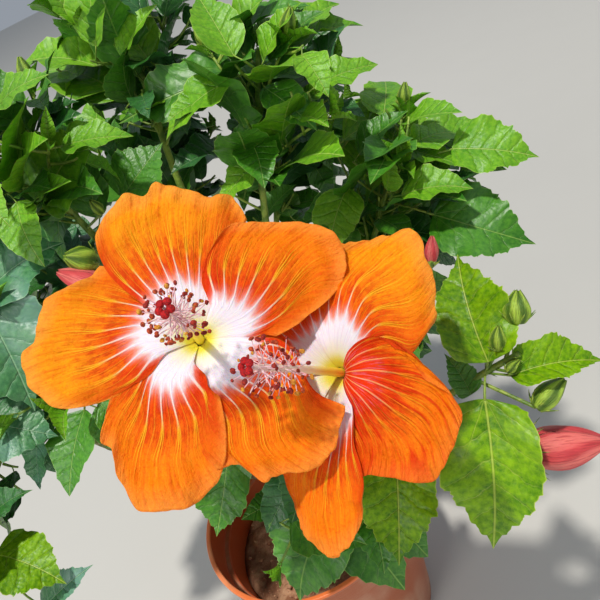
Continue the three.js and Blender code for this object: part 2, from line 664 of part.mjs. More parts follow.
function bloomSolid(name) {
  const bloom = BLOOMS[name];
  const frame = bloomFrame(bloom);
  const random = seeded(name.length);
  const petals = bloom.petals.map((petal) => petalBody(bloom, frame, petal));
  const stalk = limb(stalkCurve(name), () => bloom.stalk, 6, 6);
  const cupRadius = (t) => mix(bloom.stalk, CALYX.radius, Math.sin(Math.min(1, t * 1.6) * Math.PI * 0.5));
  const cupBase = onAxis(bloom, -CALYX.back - CALYX.length * 0.2);
  const cup = limb(new THREE.LineCurve3(cupBase, onAxis(bloom, -CALYX.front)), cupRadius, 6, 3);
  const columnBase = onAxis(bloom, -CALYX.back * COLUMN.sunk);
  const columnLine = new THREE.LineCurve3(columnBase, onAxis(bloom, bloom.column));
  const column = limb(columnLine, (t) => mix(COLUMN.root, COLUMN.tip, t), 6, 2);
  const spokes = [];
  for (let i = 0; i < COLUMN.stamens; i += 1) {
    const out = bloom.column * mix(COLUMN.from, COLUMN.to, i / COLUMN.stamens);
    const length = COLUMN.filament * mix(0.8, 1.15, random());
    spokes.push(...spokeParts(
      bloom, out, i * LEAF.turn, COLUMN.slant, length, COLUMN.filamentRadius, COLUMN.anther));
  }
  for (let i = 0; i < STYLE.count; i += 1) {
    const turn = (i * Math.PI * 2) / STYLE.count;
    spokes.push(...spokeParts(
      bloom, bloom.column - 1, turn, STYLE.slant, STYLE.length, STYLE.radius, STYLE.pad));
  }
  return largest(joined([...petals, ...[stalk, cup, column].map(solidOf), ...spokes]));
}

function guardBloom(name) {
  const bloom = BLOOMS[name];
  const frame = bloomFrame(bloom);
  guard(stalkCurve(name), () => bloom.stalk + 2);
  guard(new THREE.LineCurve3(onAxis(bloom, -CALYX.back - 6), bloom.throat), () => CALYX.radius);
  const samples = 8;
  bloom.petals.forEach((petal) => {
    for (let i = 1; i <= samples; i += 1) {
      for (let j = 0; j <= samples; j += 1) {
        const at = petalPoint(bloom, frame, petal, j / samples, i / samples, 0);
        obstacles.push({ at, radius: CLEAR.petal });
      }
    }
  });
}

// Pot and soil. The pot's body tapers up to its shoulder, and the collar stands out from it by a ledge.
const POT_NECK = POT.height - POT.collar;
const POT_SHOULDER = POT.rim - POT.ledge - POT.lip * 0.75;

function potSolid() {
  const { height, rim, foot, wall, floor, ledge, lip, sides } = POT;
  const neck = POT_NECK;
  const shoulder = POT_SHOULDER;
  const profile = [
    [0, 0], [foot, 0], [shoulder, neck], [shoulder + ledge, neck],
    [rim - 1.6, height - lip - 2], [rim, height - lip], [rim, height], [rim - wall - 1.4, height],
    [shoulder + ledge - wall, neck + wall], [shoulder - wall, neck + wall],
    [foot - wall, floor], [0, floor],
  ].map(([x, y]) => new THREE.Vector2(x, y));
  const lathe = new THREE.LatheGeometry(profile, sides).rotateX(Math.PI / 2);
  let solid = solidOf(lathe);
  for (let i = 0; i < DRAIN.count; i += 1) {
    const angle = ((i + 0.5) / DRAIN.count) * Math.PI * 2;
    const drill = new THREE.CylinderGeometry(DRAIN.radius, DRAIN.radius, floor * 4, 10)
      .rotateX(Math.PI / 2)
      .translate(Math.cos(angle) * DRAIN.out, Math.sin(angle) * DRAIN.out, 0);
    solid = solid.subtract(solidOf(drill));
  }
  return solid;
}

function soilSolid() {
  const { foot, wall, floor, sides } = POT;
  const neck = POT_NECK + wall;
  const inside = (z) => mix(foot, POT_SHOULDER, (z - floor) / (neck - floor)) - wall - GAP;
  const low = SOIL.top - SOIL.shoulder;
  const profile = [
    [0, floor + GAP], [inside(floor + GAP), floor + GAP], [inside(low), low],
    [inside(SOIL.top) - SOIL.edgeGap, SOIL.top - 1], [inside(SOIL.top) * 0.7, SOIL.top + 1.5],
    [STEM.flare * 2, SOIL.top], [0, SOIL.top],
  ].map(([x, y]) => new THREE.Vector2(x, y));
  return solidOf(new THREE.LatheGeometry(profile, sides).rotateX(Math.PI / 2));
}

// The assembly
const group = new THREE.Group();

function addPart(name, solid, colour, roughness) {
  const material = new THREE.MeshStandardMaterial({ color: colour, roughness, metalness: 0 });
  const mesh = new THREE.Mesh(geometryOf(solid), material);
  mesh.name = name;
  group.add(mesh);
}

addPart('pot', potSolid(), COLOURS.pot, 0.55);
addPart('soil', soilSolid(), COLOURS.soil, 0.95);
addPart('main_stem', solidOf(limb(STEM.path, stemRadius, STEM.sides, STEM.steps, true)), COLOURS.stem, 0.8);
guard(STEM.path, stemRadius);

// Each bough is cut a gap clear of the main stem and of the boughs made before it
const CUT_GAP = GAP * 1.25;
const stemTop = STEM.path.getPoint(1);
const stemCap = new THREE.SphereGeometry(STEM.tip + CUT_GAP, 10, 6)
  .translate(stemTop.x, stemTop.y, stemTop.z);
let taken = solidOf(limb(STEM.path, (t) => stemRadius(t) + CUT_GAP, STEM.sides, STEM.steps, true))
  .add(solidOf(stemCap));
Object.entries(BOUGHS).forEach(([name, bough]) => {
  const curve = boughCurve(bough);
  const whole = solidOf(limb(curve, boughRadius, BOUGH.sides, BOUGH.steps));
  addPart(`bough_${name}`, largest(whole.subtract(taken)), COLOURS.bough, 0.7);
  taken = taken.add(solidOf(limb(curve, (t) => boughRadius(t) + CUT_GAP, BOUGH.sides, BOUGH.steps)));
  guard(curve, boughRadius);
});

Object.keys(BLOOMS).forEach(guardBloom);
Object.keys(BLOOMS).forEach((name) => addPart(name, bloomSolid(name), COLOURS.bloom, 0.5));
Object.keys(MASSES).forEach((name) => {
  addPart(`foliage_${name}`, massSolid(name), COLOURS.leaf, 0.45);
});

export default group;
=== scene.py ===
import math

import bpy
import numpy as np
from mathutils import Matrix, Vector, noise


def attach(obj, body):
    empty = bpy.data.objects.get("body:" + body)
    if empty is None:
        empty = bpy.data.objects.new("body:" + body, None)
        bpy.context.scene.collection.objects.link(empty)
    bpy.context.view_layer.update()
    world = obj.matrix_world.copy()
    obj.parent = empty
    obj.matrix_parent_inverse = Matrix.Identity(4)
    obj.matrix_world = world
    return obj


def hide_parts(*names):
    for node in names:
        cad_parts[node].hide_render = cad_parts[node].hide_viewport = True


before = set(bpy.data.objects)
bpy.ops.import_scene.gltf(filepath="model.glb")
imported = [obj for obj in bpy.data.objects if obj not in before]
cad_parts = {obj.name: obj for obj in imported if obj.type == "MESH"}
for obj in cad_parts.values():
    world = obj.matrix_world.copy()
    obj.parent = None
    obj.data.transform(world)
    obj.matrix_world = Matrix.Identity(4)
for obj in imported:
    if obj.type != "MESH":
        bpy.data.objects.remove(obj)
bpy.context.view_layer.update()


# The pot
# A nursery pot moulded in terracotta-coloured plastic: a tapering body, a collar that stands out from
# it, a thin lip, and four drain holes in a flat floor. It is dusty outside. Inside and on the lip it is
# less dusty, and its orange is painted brighter there as painted light.
POT_HEIGHT, POT_RIM, POT_FOOT = 0.180, 0.100, 0.072
POT_WALL, POT_FLOOR, POT_COLLAR, POT_LEDGE, POT_LIP = 0.0028, 0.003, 0.030, 0.006, 0.004
POT_NECK = POT_HEIGHT - POT_COLLAR
POT_SHOULDER = POT_RIM - POT_LEDGE - POT_LIP * 0.75
POT_SIDES, POT_ROUNDING, POT_SMOOTH = 144, 0.0012, 32
DRAINS, DRAIN_RADIUS, DRAIN_OUT, DRAIN_SIDES = 4, 0.006, 0.044, 24


class Wire:
    """A value on its way through a finish. Arithmetic on it adds Math nodes."""

    def __init__(self, finish, socket):
        self.finish = finish
        self.socket = socket

    def maths(self, operation, *values):
        return self.finish.node("Math", {"operation": operation}, values)

    def __add__(self, other):
        return self.maths("ADD", self, other)

    def __sub__(self, other):
        return self.maths("SUBTRACT", self, other)

    def __mul__(self, other):
        return self.maths("MULTIPLY", self, other)

    def __truediv__(self, other):
        return self.maths("DIVIDE", self, other)

    def __pow__(self, other):
        return self.maths("POWER", self, other)

    def __rsub__(self, other):
        return self.maths("SUBTRACT", other, self)

    def __abs__(self):
        return self.maths("ABSOLUTE", self)

    __radd__ = __add__
    __rmul__ = __mul__

    def fraction(self):
        return self.maths("FRACT", self)

    def most(self, other):
        return self.maths("MAXIMUM", self, other)

    def between(self, low, high):
        """0 at low and 1 at high, with a soft start and end; low may be the greater."""
        return self.finish.node("MapRange", {"interpolation_type": "SMOOTHSTEP"}, (self, low, high, 0.0, 1.0))


class Finish:
    """The look of one surface, built up from nodes."""

    def __init__(self, name):
        self.material = bpy.data.materials.new(name)
        self.material.use_nodes = True
        self.material.node_tree.nodes.clear()

    def node(self, kind, settings, inputs, output=0):
        added = self.material.node_tree.nodes.new("ShaderNode" + kind)
        for name, value in settings.items():
            setattr(added, name, value)
        for key, value in inputs.items() if isinstance(inputs, dict) else enumerate(inputs):
            if isinstance(value, Wire):
                self.material.node_tree.links.new(value.socket, added.inputs[key])
            else:
                added.inputs[key].default_value = value
        return Wire(self, added.outputs[output]) if added.outputs else None

    def place(self, stretch=(1, 1, 1)):
        """Object coordinates, in metres, stretched along each axis."""
        spot = self.node("TexCoord", {}, {}, "Object")
        return self.node("Mapping", {}, {"Vector": spot, "Scale": stretch})

    def chart(self, name, stretch=(1, 1, 1)):
        """A UV map of the piece, stretched along each axis."""
        spot = self.node("UVMap", {"uv_map": name}, {})
        return self.node("Mapping", {}, {"Vector": spot, "Scale": stretch})

    def parts(self, vector):
        return [self.node("SeparateXYZ", {}, (vector,), axis) for axis in range(3)]

    def grain(self, vector, scale, detail=3.0, roughness=0.55):
        """Noise that stays between 0 and 1."""
        return self.node("TexNoise", {}, {
            "Vector": vector, "Scale": scale, "Detail": detail, "Roughness": roughness})

    def cells(self, vector, scale):
        """How far a place is from the nearest edge between random cells."""
        return self.node("TexVoronoi", {"feature": "DISTANCE_TO_EDGE"}, {"Vector": vector, "Scale": scale})

    def blend(self, share, first, second):
        """first where share is 0, second where it is 1."""
        return self.node("Mix", {"data_type": "RGBA"}, {0: share, 6: first, 7: second}, 2)

    def coated(self, paint, *coats):
        """The paint with coats over it, each as much of a colour as its share says."""
        for share, colour in coats:
            paint = self.blend(share, paint, colour)
        return paint

    def surface(self, paint, roughness, height=None, relief=0.0, **steady):
        normal = {}
        if height is not None:
            normal["Normal"] = self.node("Bump", {}, {"Strength": 1.0, "Distance": relief, "Height": height})
        steady = {name.replace("_", " "): value for name, value in steady.items()}
        shader = self.node("BsdfPrincipled", {}, {
            "Base Color": paint, "Roughness": roughness, **steady, **normal})
        self.node("OutputMaterial", {}, {"Surface": shader})
        return self.material


def tint(red, green, blue):
    """A colour as the eye reads it, 0 to 255, in the linear values that materials hold."""
    shares = [value / 255 for value in (red, green, blue)]
    return tuple(s / 12.92 if s <= 0.04045 else ((s + 0.055) / 1.055) ** 2.4 for s in shares) + (1.0,)


def pot_finish(name, clay, dust, dusty, roughness):
    finish = Finish(name)
    patches = finish.grain(finish.place(), 16, 5)
    streaks = finish.grain(finish.place((1, 1, 0.12)), 60, 3)
    specks = finish.grain(finish.place(), 900, 2)
    film = (patches * 0.7 + streaks * 0.3).between(0.42, 0.68) * dusty + specks.between(0.62, 0.8) * 0.25
    paint = finish.blend(film, clay, dust)
    scratches = finish.grain(finish.place((1, 1, 14)), 40, 2)
    height = patches * 0.6 + specks * 0.25 + scratches * 0.3
    return finish.surface(paint, film * 0.3 + roughness, height, 0.0006, IOR=1.45)


def rounded(outline, radius, steps=4):
    """The outline with each inner corner turned into a short arc."""
    corners = [Vector(corner) for corner in outline]
    path = [corners[0]]
    for before, corner, after in zip(corners, corners[1:], corners[2:]):
        cut = min(radius, (before - corner).length * 0.45, (after - corner).length * 0.45)
        start = corner + (before - corner).normalized() * cut
        end = corner + (after - corner).normalized() * cut
        for step in range(steps + 1):
            t = step / steps
            path.append(start * (1 - t) ** 2 + corner * 2 * t * (1 - t) + end * t ** 2)
    return path + [corners[-1]]


def pulled_up(name, outline, sides):
    """A round body pulled up from a disc, ring by ring along its outline, and left in edit mode."""
    bpy.ops.object.select_all(action="DESELECT")
    (radius, height), *rest = outline
    bpy.ops.mesh.primitive_circle_add(
        vertices=sides, radius=radius, fill_type="NGON", location=(0, 0, height))
    body = bpy.context.object
    body.name = name
    bpy.ops.object.transform_apply(location=True)
    bpy.ops.object.mode_set(mode="EDIT")
    bpy.ops.mesh.select_all(action="SELECT")
    for new_radius, new_height in rest:
        bpy.ops.mesh.extrude_region_move(
            TRANSFORM_OT_translate={"value": (0, 0, new_height - height)})
        share = new_radius / radius
        bpy.ops.transform.resize(value=(share, share, 1))
        radius, height = new_radius, new_height
    return body


def finished_body(body, angle):
    """Turns the faces of a pulled-up body outwards, leaves edit mode and shades it."""
    bpy.ops.mesh.select_all(action="SELECT")
    bpy.ops.mesh.normals_make_consistent(inside=False)
    bpy.ops.object.mode_set(mode="OBJECT")
    bpy.ops.object.shade_smooth_by_angle(angle=math.radians(angle))
    return body


inner_shoulder = POT_SHOULDER - POT_WALL
pot = pulled_up("nursery_pot", rounded([
    (POT_FOOT - 0.004, 0), (POT_FOOT, 0), (POT_SHOULDER - 0.0006, POT_NECK - 0.006),
    (POT_SHOULDER + 0.0008, POT_NECK - 0.004), (POT_SHOULDER, POT_NECK), (POT_SHOULDER + POT_LEDGE, POT_NECK),
    (POT_RIM - 0.0022, POT_HEIGHT - POT_LIP - 0.003), (POT_RIM, POT_HEIGHT - POT_LIP), (POT_RIM, POT_HEIGHT),
    (POT_RIM - POT_WALL - 0.0014, POT_HEIGHT), (POT_RIM - POT_WALL - 0.0022, POT_HEIGHT - 0.006),
    (inner_shoulder + POT_LEDGE, POT_NECK + POT_WALL), (inner_shoulder, POT_NECK + POT_WALL),
    (POT_FOOT - POT_WALL, POT_FLOOR), (0.001, POT_FLOOR)], POT_ROUNDING), POT_SIDES)
finished_body(pot, POT_SMOOTH)
bpy.ops.object.select_all(action="DESELECT")
for index in range(DRAINS):
    turn = (index + 0.5) / DRAINS * math.tau
    bpy.ops.mesh.primitive_cylinder_add(
        vertices=DRAIN_SIDES, radius=DRAIN_RADIUS, depth=POT_FLOOR * 4,
        location=(math.cos(turn) * DRAIN_OUT, math.sin(turn) * DRAIN_OUT, 0))
    drill = bpy.context.object
    cut = pot.modifiers.new("drain", "BOOLEAN")
    cut.object = drill
    bpy.context.view_layer.objects.active = pot
    bpy.ops.object.modifier_apply(modifier=cut.name)
    bpy.data.objects.remove(drill)
# The inside and the lip get brighter, warmer copies of the orange plastic: painted light.
pot.data.materials.append(pot_finish("pot_outside", tint(184, 98, 58), tint(208, 162, 134), 0.75, 0.42))
pot.data.materials.append(pot_finish("pot_inside", tint(200, 88, 42), tint(212, 128, 86), 0.4, 0.36))
pot.data.materials.append(pot_finish("pot_lip_painted_light", tint(238, 122, 62), tint(240, 170, 126), 0.5, 0.3))
for face in pot.data.polygons:
    inward = face.normal.x * face.center.x + face.normal.y * face.center.y < 0
    lip = face.center.z > POT_HEIGHT - POT_WALL
    face.material_index = 2 if lip else 1 if inward and face.center.z > POT_FLOOR else 0
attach(pot, "root")
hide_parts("pot")


# The soil
# A ball of clay soil, dried and cracked at the top, that has shrunk from the wall of the pot. Loose
# clods and grit lie on it.
SOIL_TOP, SOIL_SHOULDER, SOIL_EDGE_GAP, SOIL_CLEAR = 0.137, 0.011, 0.007, 0.0003
SOIL_SIDES, SOIL_RINGS, SOIL_DOME, SOIL_DOME_RINGS, SOIL_SMOOTH = 120, 34, 0.0016, 9, 60
SOIL_LEVEL_OUT, SOIL_FADE = 0.013, 0.012
SOIL_RELIEF = (
    ("lumps", "CLOUDS", 0.022, 0.006), ("cracks", "VORONOI", 0.03, 0.008),
    ("crumbs", "CLOUDS", 0.004, 0.0024))
SOIL_RELIEF_LEVEL, SOIL_CRACKING = 0.7, 2
CLODS, CLOD_SIZES, CLODS_FROM = 340, (0.0005, 0.0030), 0.016


def mm(*values):
    """Millimetres as a place or a size in metres."""
    return np.array(values, float) / 1000


def pot_inside(height):
    share = (height - POT_FLOOR) / (POT_NECK + POT_WALL - POT_FLOOR)
    return POT_FOOT + (POT_SHOULDER - POT_FOOT) * share - POT_WALL - SOIL_CLEAR


def soil_finish():
    finish = Finish("dry_clay")
    lumps = finish.grain(finish.place(), 70, 5, 0.65)
    grit = finish.grain(finish.place(), 520, 4, 0.7)
    # Below the top, down the sides of the soil ball, the clay turns darker.
    below_top = finish.parts(finish.place())[2].between(SOIL_TOP - 0.001, SOIL_TOP - 0.012)
    # The pale clay tones are partly the dry clay's own colour and partly painted light, made lighter to stand
    # in for sun on it.
    paint = finish.coated(
        finish.blend(lumps.between(0.36, 0.66), tint(164, 112, 82), tint(224, 174, 136)),
        (grit.between(0.6, 0.72) * 0.6, tint(236, 202, 174)),
        (grit.between(0.42, 0.3) * 0.6, tint(104, 66, 46)),
        (below_top * 0.7, tint(72, 44, 30)))
    return finish.surface(paint, 0.92, lumps + grit * 0.6, 0.0016, Specular_IOR_Level=0.25)


soil_edge = pot_inside(SOIL_TOP) - SOIL_EDGE_GAP
soil_rings = [
    (soil_edge * (1 - ring / SOIL_RINGS), SOIL_TOP - 0.001 + SOIL_DOME * min(1, ring / SOIL_DOME_RINGS))
    for ring in range(SOIL_RINGS)]
soil = pulled_up("clay_soil", [
    (pot_inside(POT_FLOOR), POT_FLOOR + SOIL_CLEAR),
    (pot_inside(SOIL_TOP - SOIL_SHOULDER), SOIL_TOP - SOIL_SHOULDER)] + soil_rings, SOIL_SIDES)
finished_body(soil, SOIL_SMOOTH)
top = soil.vertex_groups.new(name="top")
for vertex in soil.data.vertices:
    out = math.hypot(vertex.co.x, vertex.co.y)
    if vertex.co.z > SOIL_TOP - 0.002:
        share = min(1.0, max(0.0, (out - SOIL_LEVEL_OUT) / SOIL_FADE))
        top.add([vertex.index], share, "REPLACE")
for name, kind, size, strength in SOIL_RELIEF:
    pattern = bpy.data.textures.new(name, kind)
    pattern.noise_scale = size
    if kind == "VORONOI":
        pattern.weight_1, pattern.weight_2 = -1, 1
        pattern.noise_intensity = SOIL_CRACKING
    push = soil.modifiers.new(name, "DISPLACE")
    push.texture, push.strength, push.mid_level = pattern, strength, SOIL_RELIEF_LEVEL
    push.direction, push.vertex_group, push.texture_coords = "Z", "top", "LOCAL"
    bpy.context.view_layer.objects.active = soil
    bpy.ops.object.modifier_apply(modifier=push.name)
clay = soil_finish()
soil.data.materials.append(clay)
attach(soil, "root")
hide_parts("soil")


def made(name, parts, material, replaced=(), charts=()):
    """One piece joined from parts, each of them (points, faces) and a UV map for each of the charts."""
    points, faces, maps, offset = [], [], [[] for _ in charts], 0
    for part_points, part_faces, *part_maps in parts:
        points.append(np.asarray(part_points))
        faces.extend([corner + offset for corner in face] for face in part_faces)
        for whole, one in zip(maps, part_maps):
            whole.append(np.asarray(one))
        offset += len(part_points)
    mesh = bpy.data.meshes.new(name)
    mesh.from_pydata(np.concatenate(points).tolist(), [], faces)
    corners = np.zeros(len(mesh.loops), int)
    mesh.loops.foreach_get("vertex_index", corners)
    for chart, one in zip(charts, maps):
        mesh.uv_layers.new(name=chart).data.foreach_set("uv", np.concatenate(one)[corners].ravel())
    mesh.polygons.foreach_set("use_smooth", [True] * len(mesh.polygons))
    mesh.materials.append(material)
    whole = bpy.data.objects.new(name, mesh)
    bpy.context.scene.collection.objects.link(whole)
    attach(whole, "root")
    if replaced:
        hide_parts(*replaced)
    return whole


def seeded(seed):
    """Numbers between 0 and 1 that come out the same for the same seed."""
    state, low = seed, 0xFFFFFFFF

    def draw():
        nonlocal state
        state = (state + 0x6D2B79F5) & low
        t = ((state ^ (state >> 15)) * (1 | state)) & low
        t = ((t + (((t ^ (t >> 7)) * (61 | t)) & low)) & low) ^ t
        return (t ^ (t >> 14)) / 4294967296
    return draw


def mix(a, b, t):
    return a + (b - a) * t


clod_corners = np.array([(x, y, z) for x in (-1, 1) for y in (-1, 1) for z in (-1, 1)]) / math.sqrt(3)
clod_middles = [(1, 0, 0), (-1, 0, 0), (0, 1, 0), (0, -1, 0), (0, 0, 1), (0, 0, -1)]
clod_points = np.concatenate([clod_corners, clod_middles])
clod_faces = [
    (centre, *pair) for centre, ring in (
        (8, (4, 6, 7, 5)), (9, (0, 1, 3, 2)), (10, (2, 3, 7, 6)), (11, (0, 4, 5, 1)), (12, (1, 5, 7, 3)),
        (13, (0, 2, 6, 4)))
    for pair in zip(ring, ring[1:] + ring[:1])]
draw = seeded(5)
clods = []
soil_points = np.array([vertex.co for vertex in soil.data.vertices])
for _ in range(CLODS):
    turn, out = draw() * math.tau, math.sqrt(draw()) * (soil_edge - 0.002)
    if out < CLODS_FROM:
        continue
    spot = np.array((math.cos(turn) * out, math.sin(turn) * out))
    near = np.argmin(((soil_points[:, :2] - spot) ** 2).sum(1) - soil_points[:, 2])
    size = mix(*CLOD_SIZES, draw() ** 3)
    rough = np.array([[mix(0.55, 1.3, draw()) for _ in range(3)] for _ in clod_points]) * (1, 1, 0.65)
    clods.append((clod_points * rough * size + (*spot, soil_points[near, 2] + size * 0.3), clod_faces))
made("clods", clods, clay)


# The main stem
# One woody stem from a flat cut on the soil up to its top, with a flare at the foot. Its young bark is
# grey-brown, finely cracked, with pores and the scars of old leaves.
STEM_PATH = mm((0, 0, 137.3), (5, -3, 185), (-8, 5, 230), (3, 2, 292))
STEM_FLARE, STEM_FOOT, STEM_TIP, FLARE_LENGTH = 0.012, 0.0085, 0.005, 0.12
STEM_RINGS, STEM_SIDES, STEM_LENGTH, STEM_BARK = 130, 40, 0.157, (0.007, 0.0009)
SCAR_SPACING, SCAR_TURN, SCAR_RING, SCAR_HEIGHT = 0.016, 2.4, 0.00030, 0.00085
SCAR_LENGTH, SCAR_WIDTH = 0.0020, 0.0024
CLEAR_LIMB, GUARD_SPACING = 0.0016, 0.003
UP = np.array((0.0, 0.0, 1.0))
ASIDE = np.array((1.0, 0.0, 0.0))
guarded = np.empty((0, 4))


def unit(vector):
    return vector / np.linalg.norm(vector, axis=-1, keepdims=True)


def bezier(controls, t):
    """Places along a Bezier curve of any number of control points."""
    t = np.asarray(t, float)[..., None]
    while len(controls) > 1:
        controls = [a + (b - a) * t for a, b in zip(controls, controls[1:])]
    return controls[0]


def bezier_way(controls, t):
    return unit(bezier(controls, t + 1e-4) - bezier(controls, t - 1e-4))


def steady(way):
    return UP if abs(way[2]) < 0.8 else ASIDE


def ring_faces(rings, sides):
    """Faces between rings of points, and one over the first and the last."""
    starts = np.arange(rings - 1)[:, None] * sides
    columns = np.arange(sides)
    a, b = starts + columns, starts + (columns + 1) % sides
    faces = np.stack([a, b, b + sides, a + sides], -1).reshape(-1, 4).tolist()
    return faces + [list(range(sides))[::-1], list(range((rings - 1) * sides, rings * sides))]


def tube(path, radii, sides, relief=0.0):
    """Rings round a path of places, with flat ends."""
    way = unit(np.gradient(path, axis=0))
    reference = steady(unit(path[-1] - path[0]))
    side = unit(reference - way * (way @ reference)[:, None])
    other = np.cross(way, side)
    turns = np.arange(sides) / sides * math.tau
    spokes = side[:, None] * np.cos(turns)[:, None] + other[:, None] * np.sin(turns)[:, None]
    radii = np.broadcast_to(radii, len(path))[:, None] + relief
    points = path[:, None] + spokes * np.broadcast_to(radii, spokes.shape[:2])[..., None]
    return points.reshape(-1, 3), ring_faces(len(path), sides)


def noise_at(*coordinates):
    """Soft noise around 0 for arrays of coordinates."""
    stacked = np.stack(np.broadcast_arrays(*coordinates), -1)
    spots = stacked.reshape(-1, 3).tolist()
    return np.array([noise.noise(Vector(spot)) for spot in spots]).reshape(stacked.shape[:-1])


def bark_relief(rings, sides, length, radius, depth, seed):
    """Heights round a limb: shallow cracks along it, and a scar on a swollen ring at each old leaf."""
    turns = np.arange(sides) / sides * math.tau
    along = np.linspace(0, length, rings)
    wide, fine = (noise_at(np.cos(turns) * coarse, np.sin(turns) * coarse, along[:, None] * long + seed)
                  for coarse, long in ((2.6, 60), (7, 200)))
    heights = (np.abs(wide) + 0.5 * fine) * depth
    for scar in range(int(length / SCAR_SPACING)):
        near = np.exp(-((along - (scar + 0.6) * SCAR_SPACING) / SCAR_LENGTH) ** 2)[:, None]
        away = (turns - scar * SCAR_TURN - seed + math.pi) % math.tau - math.pi
        heights += near * (SCAR_RING + SCAR_HEIGHT * np.exp(-(away * radius / SCAR_WIDTH) ** 2))
    return heights


def bark_finish(name, ridge, crack, pore, green=None):
    finish = Finish(name)
    long_grain = finish.grain(finish.place((1, 1, 0.25)), 420, 5, 0.6)
    patches = finish.grain(finish.place(), 90, 3)
    pores = finish.cells(finish.place((1, 1, 0.6)), 380)
    paint = finish.blend(long_grain.between(0.38, 0.62), crack, ridge)
    if green:
        run = finish.parts(finish.chart("run"))[1]
        paint = finish.blend((run + patches * 0.5).between(0.3, 0.85), paint, green)
    paint = finish.blend(pores.between(0.10, 0.02) * patches.between(0.45, 0.6) * 0.8, paint, pore)
    height = long_grain * 0.7 + pores.between(0.0, 0.2) * 0.3
    return finish.surface(paint, patches * 0.25 + 0.5, height, 0.0005)


def guard(places, radii):
    """Later leaves keep clear of these places by these distances."""
    global guarded
    places = np.atleast_2d(places)
    guarded = np.concatenate([guarded, np.column_stack([places, np.broadcast_to(radii, len(places))])])


def curve_length(controls):
    return np.linalg.norm(np.diff(bezier(controls, np.linspace(0, 1, 201)), axis=0), axis=1).sum()


def guard_limb(controls, radius_at, clear=CLEAR_LIMB):
    count = math.ceil(curve_length(controls) / GUARD_SPACING)
    t = np.linspace(0, 1, count + 1)
    guard(bezier(controls, t), radius_at(t) + clear)


def stem_radius(t):
    flare = np.maximum(0, 1 - t / FLARE_LENGTH) ** 2
    return mix(STEM_FOOT, STEM_TIP, t) + (STEM_FLARE - STEM_FOOT) * flare


along = np.linspace(0, 1, STEM_RINGS)
relief = bark_relief(STEM_RINGS, STEM_SIDES, STEM_LENGTH, *STEM_BARK, 1.0)
stem_bark = bark_finish("young_bark", tint(150, 128, 98), tint(92, 74, 54), tint(182, 166, 138))
made("main_stem_bark", [tube(bezier(STEM_PATH, along), stem_radius(along), STEM_SIDES, relief)], stem_bark,
     ["main_stem"])
guard_limb(STEM_PATH, stem_radius)


# The boughs
# Each is one tapering limb that leaves the main stem with a swollen foot and ends where it enters a mass
# of foliage. Their skin goes from brown bark at the stem to green at the tip, with a scar at each node.
BOUGH_ROOT, BOUGH_TIP, BOUGH_RISE, BOUGH_OUT = 0.0039, 0.0025, 0.3, 0.62
BOUGHS = {
    "low_back": (0.3, mm(-24, 50, 262)), "low_right": (0.42, mm(72, 18, 282)),
    "low_left": (0.58, mm(-116, -20, 392)), "front_low": (0.36, mm(46, -58, 274)),
    "front_right": (0.5, mm(106, -116, 322)), "back_right": (0.46, mm(78, 66, 362)),
    "back_left": (0.55, mm(-62, 66, 362)), "right": (0.62, mm(118, -6, 346)),
    "left": (0.67, mm(-92, 14, 366)), "bloom_right": (0.72, mm(94, -104, 366)),
    "back": (0.74, mm(14, 84, 384)), "front_left": (0.8, mm(-58, -42, 378)),
    "bloom_left": (0.88, mm(12, -78, 388)), "upper_right": (0.9, mm(82, 8, 430)),
    "upper_left": (0.95, mm(-20, 12, 464)), "top": (1, mm(42, 44, 478)),
}
BOUGH_SWELLING, BOUGH_SWELLING_END = 0.0022, 0.012
BOUGH_RINGS, BOUGH_SIDES, BOUGH_BARK = 90, 16, (0.003, 0.0004)


def bough_controls(name):
    leaves, tip = BOUGHS[name]
    start = bezier(STEM_PATH, leaves)
    return [start, np.append(mix(start, tip, BOUGH_OUT)[:2], mix(start, tip, BOUGH_RISE)[2]), tip]


def bough_radius(t):
    return mix(BOUGH_ROOT, BOUGH_TIP, t)


def across(way):
    side = unit(steady(way) - way * (way @ steady(way)))
    return side, np.cross(way, side)


def way_out(way, turn):
    """The way straight out from an axis, at a turn round it."""
    side, other = across(way)
    return side * math.cos(turn) + other * math.sin(turn)


def run_of(rings, sides):
    """How far along a tube each of its points is, as a UV map."""
    share = np.repeat(np.linspace(0, 1, rings), sides)
    return np.stack([np.full_like(share, 0.5), share], -1)


bough_bark = bark_finish(
    "bough_bark", tint(142, 122, 88), tint(96, 80, 54), tint(176, 164, 126), tint(112, 128, 58))
for number, name in enumerate(BOUGHS):
    along = np.linspace(0, 1, BOUGH_RINGS)
    path = bezier(bough_controls(name), along)
    length = np.linalg.norm(np.diff(path, axis=0), axis=1).sum()
    away = np.linspace(0, length, BOUGH_RINGS)
    radii = bough_radius(along) + BOUGH_SWELLING * np.exp(-(away / BOUGH_SWELLING_END) ** 2)
    relief = bark_relief(BOUGH_RINGS, BOUGH_SIDES, length, *BOUGH_BARK, number * 1.7)
    limb = (*tube(path, radii, BOUGH_SIDES, relief), run_of(BOUGH_RINGS, BOUGH_SIDES))
    made(f"bough_{name}_bark", [limb], bough_bark, [f"bough_{name}"], ["run"])
    guard_limb(bough_controls(name), bough_radius)


# The blooms
# Two open blooms of a garden hibiscus on green stalks. Each has a ribbed calyx, five overlapping satin
# petals that shade from a yellow throat over a white eye to orange, and a long column with its stamens.
THROAT_DEPTH, THROAT_WIDTH, RECURVE, LAYER, LAYER_FROM, HUB = 0.016, 0.009, 0.9, 0.0042, 0.012, 0.005
PETAL_THICKNESS, PETAL_COLUMNS, PETAL_ROWS, PETAL_BASE, PETAL_VEINS = 0.0003, 100, 60, -0.035, 9.0
PETAL_GUARDS = 8, 9
CLEAR_BLOOM_STALK, CLEAR_PETAL = 0.002, 0.005
CALYX_LENGTH, CALYX_RADIUS, CALYX_BACK, CALYX_WALL, CALYX_FLARE = 0.024, 0.0075, 0.026, 0.0006, 1.3
CALYX_SIDES, CALYX_LOBES, CALYX_RIBS = 60, 5, 10
COLUMN_ROOT, COLUMN_TIP, COLUMN_SUNK = 0.0024, 0.0014, 0.6
